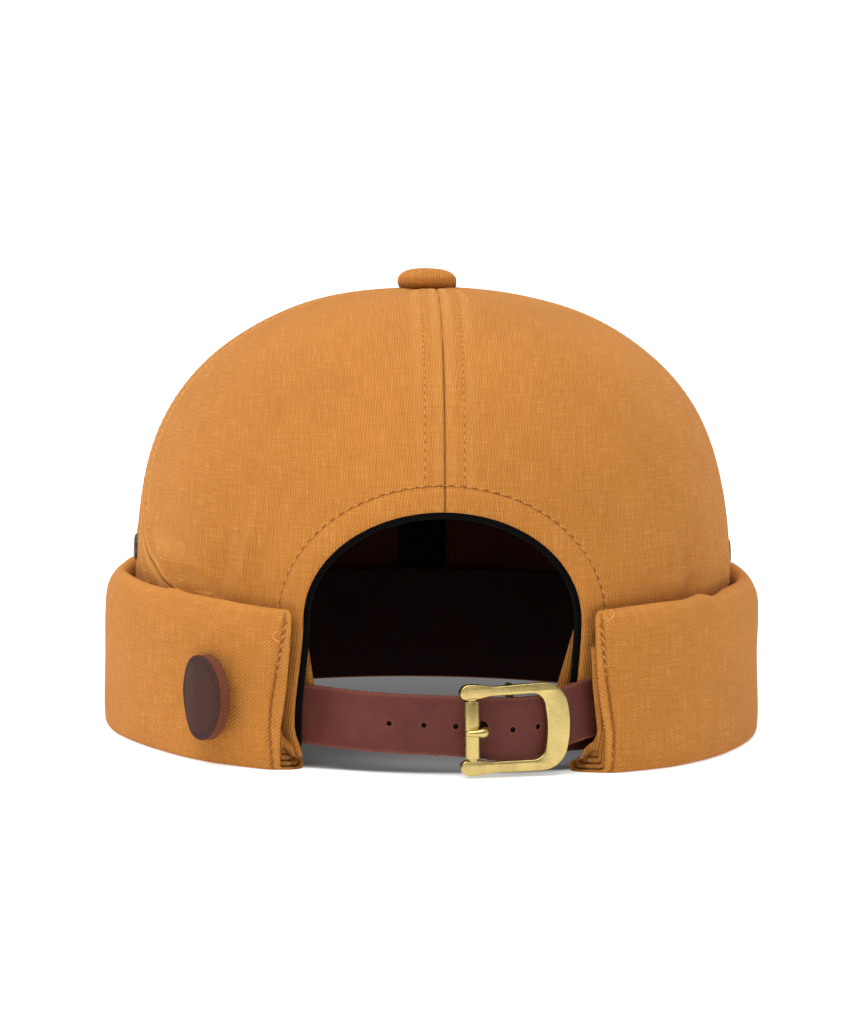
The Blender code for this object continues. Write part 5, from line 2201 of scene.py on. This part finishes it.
# %% The frame's outline
# Along the strap, up, and the corner's radius
FRAME_OUTLINE = (
    # (along, up, radius)
    (-0.0156, 0.0122, 0.0024),
    (-0.0108, 0.0122, 0.0080),
    (-0.0060, 0.0113, 0.0120),
    (0.0136, 0.0119, 0.0072),
    (0.0153, -0.0008, 0.0300),
    (0.0128, -0.0121, 0.0072),
    (-0.0060, -0.0119, 0.0120),
    (-0.0108, -0.0123, 0.0080),
    (-0.0156, -0.0123, 0.0024),
    (-0.0156, -0.0081, 0.0017),
    (-0.0108, -0.0081, 0.0060),
    (-0.0072, -0.0088, 0.0080),
    (0.0076, -0.0090, 0.0036),
    (0.0088, -0.0008, 0.0300),
    (0.0076, 0.0089, 0.0036),
    (-0.0072, 0.0088, 0.0080),
    (-0.0108, 0.0081, 0.0060),
    (-0.0156, 0.0081, 0.0017),
)
FRAME_EDGE = 0.00045
print(len(FRAME_OUTLINE), "corners in the frame's outline")


# %% Cast body
def cast_body():
    """The frame's flat body, with its thicker lobes, in its place."""
    data, spline = new_curve([point.to_3d() for point in rounded(FRAME_OUTLINE, 8)])
    spline.use_cyclic_u = True
    data.dimensions = "2D"
    data.fill_mode = "BOTH"
    data.extrude = FRAME_THICKNESS / 2 - FRAME_EDGE
    data.bevel_depth = FRAME_EDGE
    data.bevel_resolution = 3
    data.offset = -FRAME_EDGE
    body = curve_to_mesh("frame_body")
    for vertex in body.data.vertices:
        x, y, z = vertex.co
        lobe = smooth(-0.0095, -0.0120, x)
        bow = 0.0004 * (1 - (y / 0.012) ** 2) * smooth(0.006, 0.011, x)
        vertex.co = BUCKLE @ Vector((x, y, FRAME_MIDDLE + z * (1 + 0.25 * lobe) + bow))
    return body


body = cast_body()
print("the cast body has", len(body.data.polygons), "faces")

# %% Frame
RAIL_UP = 0.0101
TOE_BAR_RADIUS = 0.0010
POST_RADIUS = 0.0011


def make_frame(body):
    """The cast frame: its body with the posts and bars."""
    pieces = [body]
    bars = ((TOE_BAR_U, FRAME_MIDDLE, TOE_BAR_RADIUS), (0.0, CENTRE_BAR_OUT, CENTRE_BAR_RADIUS))
    for along, out, radius in bars:
        ends = [BUCKLE @ Vector((along, side * RAIL_UP, out)) for side in (-1, 1)]
        pieces.append(tube("bar", ends, [radius, radius], 4))
    for side in (-1, 1):
        outs = (CENTRE_BAR_OUT - 0.0012, FRAME_MIDDLE)
        ends = [BUCKLE @ Vector((0, side * RAIL_UP, out)) for out in outs]
        pieces.append(tube("post", ends, [POST_RADIUS, POST_RADIUS], 3))
    piece = join("cast_frame", pieces)
    shade(piece, 50)
    dress(piece, brass, "brass", "buckle_frame")


make_frame(body)
print("frame")

# %% Roller
COLLAR_RADIUS = 0.0014


def make_roller():
    """The roller: a rolled sheet tube with a small collar at each end."""
    half = 0.0078
    stations = (
        # (up, radius)
        (-half, ROLLER_RADIUS * 0.80),
        (-half + 0.0001, ROLLER_RADIUS * 0.93),
        (-half + 0.0004, ROLLER_RADIUS),
        (half - 0.0004, ROLLER_RADIUS),
        (half - 0.0001, ROLLER_RADIUS * 0.93),
        (half, ROLLER_RADIUS * 0.80),
    )
    points = [BUCKLE @ Vector((TOE_BAR_U, up, FRAME_MIDDLE)) for up, _ in stations]
    roller = tube("roller_body", points, [radius for _, radius in stations], 6)
    collars = []
    for side in (-1, 1):
        ups = (half + 0.0001, half + 0.0006)
        ends = [BUCKLE @ Vector((TOE_BAR_U, side * up, FRAME_MIDDLE)) for up in ups]
        collars.append(tube("collar", ends, [COLLAR_RADIUS, COLLAR_RADIUS], 5))
    piece = join("brass_roller", [roller, *collars])
    shade(piece, 40)
    dress(piece, brass, "brass", "buckle_roller")


make_roller()
print("roller")

# %% The prong's way
ROLLER_REACH = FRAME_MIDDLE + ROLLER_RADIUS

# From its hook round the middle bar to its tip: along as shares of the toe bar's distance, out
# as shares of the roller's reach, and its radius
PRONG_ROUTE = (
    # (along, out, radius)
    (0.230, 0.041, 0.0008),
    (0.470, -0.049, 0.0008),
    (0.615, 0.098, 0.0008),
    (0.680, 0.393, 0.0008),
    (0.700, 0.721, 0.0011),
    (0.760, 1.000, 0.0014),
    (0.840, 1.190, 0.0013),
    (0.960, 1.240, 0.0010),
    (1.080, 1.210, 0.0009),
    (1.160, 1.150, 0.0008),
    (1.200, 1.100, 0.0005),
    (1.210, 1.080, 0.0002),
)
print("the roller's face stands", round(1000 * ROLLER_REACH, 1), "mm out of the wall")


# %% Prong
def make_prong():
    """The prong: hooked round the bar, up through the strap and over the roller."""
    hook_radius = CENTRE_BAR_RADIUS + GAP + PRONG_RADIUS
    rows = []
    for k in range(9):
        turned = math.radians(-130 + 220 * k / 8)
        out = CENTRE_BAR_OUT + hook_radius * math.sin(turned)
        rows.append(Vector((hook_radius * math.cos(turned), out, PRONG_RADIUS)))
    for along, out, radius in PRONG_ROUTE:
        rows.append(Vector((along * TOE_BAR_U, out * ROLLER_REACH, radius)))
    smoothed = through(rows, 4)
    points = [BUCKLE @ Vector((row.x, strap_middle, row.y)) for row in smoothed]
    piece = tube("brass_prong", points, [row.z for row in smoothed], 4)
    shade(piece, 60)
    dress(piece, brass, "brass", "buckle_prong")


make_prong()
print("prong")

# %% [markdown]
# ## Light, floor and camera
#
# A product photograph on white has a floor bright enough to vanish into the background, and
# big soft lights. Strong lights alone would burn the cap out before the floor turned white. So
# the camera sees a plain white world, while a dimmer one lights the cap, a wide sun and a
# panel from the upper left shape it, and the floor has a glow of its own. Under the cap the
# floor carries a painted shadow: its colour is darker, and its glow is weak and grows towards
# the front, a painted light that stands for the light that comes in there.

# %% World
WORLD_SEEN = 1.2
WORLD_FRONT = 0.26
WORLD_BACK = 0.85
WORLD_ABOVE = 0.30

world = bpy.data.worlds.new("studio")
bpy.context.scene.world = world
world.use_nodes = True
world_nodes = world.node_tree.nodes
seen = world_nodes["Background"]
seen.inputs["Color"].default_value = (1, 1, 1, 1)
seen.inputs["Strength"].default_value = WORLD_SEEN
lighting = world_nodes.new("ShaderNodeBackground")
lighting.inputs["Color"].default_value = (1, 1, 1, 1)
way_round = world_nodes.new("ShaderNodeSeparateXYZ")
put(world_nodes, way_round.inputs[0], coordinates(world_nodes, "Generated"))
behind = ramp(world_nodes, way_round.outputs[1], -0.7, 0.6, WORLD_FRONT, WORLD_BACK)
above = ramp(world_nodes, way_round.outputs[2], 0.0, 0.9, 0.0, WORLD_ABOVE)
put(world_nodes, lighting.inputs["Strength"], maths(world_nodes, "ADD", behind, above))
choice = world_nodes.new("ShaderNodeMixShader")
path = world_nodes.new("ShaderNodeLightPath")
world.node_tree.links.new(path.outputs["Is Camera Ray"], choice.inputs[0])
world.node_tree.links.new(lighting.outputs[0], choice.inputs[1])
world.node_tree.links.new(seen.outputs[0], choice.inputs[2])
world.node_tree.links.new(choice.outputs[0], world_nodes["World Output"].inputs[0])
bpy.context.scene.view_settings.view_transform = "Standard"
print("the camera sees", WORLD_SEEN, "and the cap", WORLD_FRONT, "to", WORLD_BACK + WORLD_ABOVE)

# %% Floor
FLOOR_GLOW = 0.42
COVERED_PAINTED_GLOW = (0.03, 0.17)
FOOTPRINT_ACROSS = 0.0940
FOOTPRINT_DEEP = 0.1020
FOOTPRINT_MIDDLE = 0.0030


def make_floor():
    """A pale floor far wider than the picture, with a painted shadow under the cap's footprint: a
    darker colour and a weaker glow.
    """
    deselect()
    bpy.ops.mesh.primitive_plane_add(size=30, location=(0, 0, 0))
    floor = rename(bpy.context.object, "floor")
    material, nodes, shader = finish("floor_white", 0.95)
    place = coordinates(nodes, "Object")
    shades = ramp(nodes, noise_at(nodes, place, 40.0), 0.3, 0.7, 0.0, 1.0)
    paper = blend(nodes, shades, (0.80, 0.80, 0.81), (0.82, 0.82, 0.82))
    shader.inputs["Specular IOR Level"].default_value = 0.1
    parts = nodes.new("ShaderNodeSeparateXYZ")
    put(nodes, parts.inputs[0], place)
    across = maths(nodes, "DIVIDE", parts.outputs[0], FOOTPRINT_ACROSS)
    across = maths(nodes, "POWER", across, 2.0)
    deep = maths(nodes, "SUBTRACT", parts.outputs[1], FOOTPRINT_MIDDLE)
    deep = maths(nodes, "POWER", maths(nodes, "DIVIDE", deep, FOOTPRINT_DEEP), 2.0)
    away = maths(nodes, "SQRT", maths(nodes, "ADD", across, deep))
    outside_painted_shadow = ramp(nodes, away, 0.955, 0.995, 0.0, 1.0)
    # Painted shadow and light: under the cap the glow is weak and grows from back to front.
    covered = ramp(nodes, parts.outputs[1], -0.09, 0.09, *COVERED_PAINTED_GLOW)
    glow = ramp(nodes, outside_painted_shadow, 0.0, 1.0, covered, FLOOR_GLOW)
    put(nodes, shader.inputs["Emission Color"], glow)
    shader.inputs["Emission Strength"].default_value = 1.0
    # Painted shadow: the floor's colour is darker under the cap's footprint.
    put(nodes, shader.inputs["Base Color"], blend(nodes, outside_painted_shadow, (0.32, 0.31, 0.31), paper))
    floor.data.materials.append(material)


make_floor()
print("floor")

# %% Lights
SUN_POWER = 2.3
SUN_PLACE = (-0.35, -0.45, 2.2)
SUN_WIDTH = math.radians(60)
PANEL_POWER = 6.0
PANEL_PLACE = (-0.9, -1.0, 1.3)
PANEL_SIZE = 0.9


def aimed(kind, name, place, aim, power):
    """A light that faces a point."""
    deselect()
    bpy.ops.object.light_add(type=kind, location=place)
    light = bpy.context.object
    light.name = name
    light.data.energy = power
    light.rotation_euler = (Vector(aim) - Vector(place)).to_track_quat("-Z", "Y").to_euler()
    return light.data


aimed("SUN", "sky_panel", SUN_PLACE, (0, 0, 0), SUN_POWER).angle = SUN_WIDTH
aimed("AREA", "key_panel", PANEL_PLACE, (0, 0, 0.07), PANEL_POWER).size = PANEL_SIZE
print("a wide sun and a soft panel")

# %% Camera
CAMERA_DISTANCE = 1.0
CAMERA_HEIGHT = 0.1462
CAMERA_YAW = math.radians(-1.84)
CAMERA_PITCH = math.radians(4.8)
CAMERA_ROLL = math.radians(0.7)
CAMERA_ASIDE = -0.0018
CAMERA_LENS = 119.5
SENSOR_WIDTH = 36

deselect()
bpy.ops.object.camera_add()
camera = bpy.context.object
camera.data.lens = CAMERA_LENS
camera.data.sensor_width = SENSOR_WIDTH
turned = Matrix.Rotation(CAMERA_YAW, 4, "Z")
stand = Matrix.Translation((CAMERA_ASIDE, -CAMERA_DISTANCE, CAMERA_HEIGHT))
tilt = Matrix.Rotation(math.pi / 2 - CAMERA_PITCH, 4, "X")
roll = Matrix.Rotation(CAMERA_ROLL, 4, "Z")
camera.matrix_world = turned @ stand @ tilt @ roll
bpy.context.scene.camera = camera
print("camera at", tuple(round(place, 3) for place in camera.matrix_world.translation))
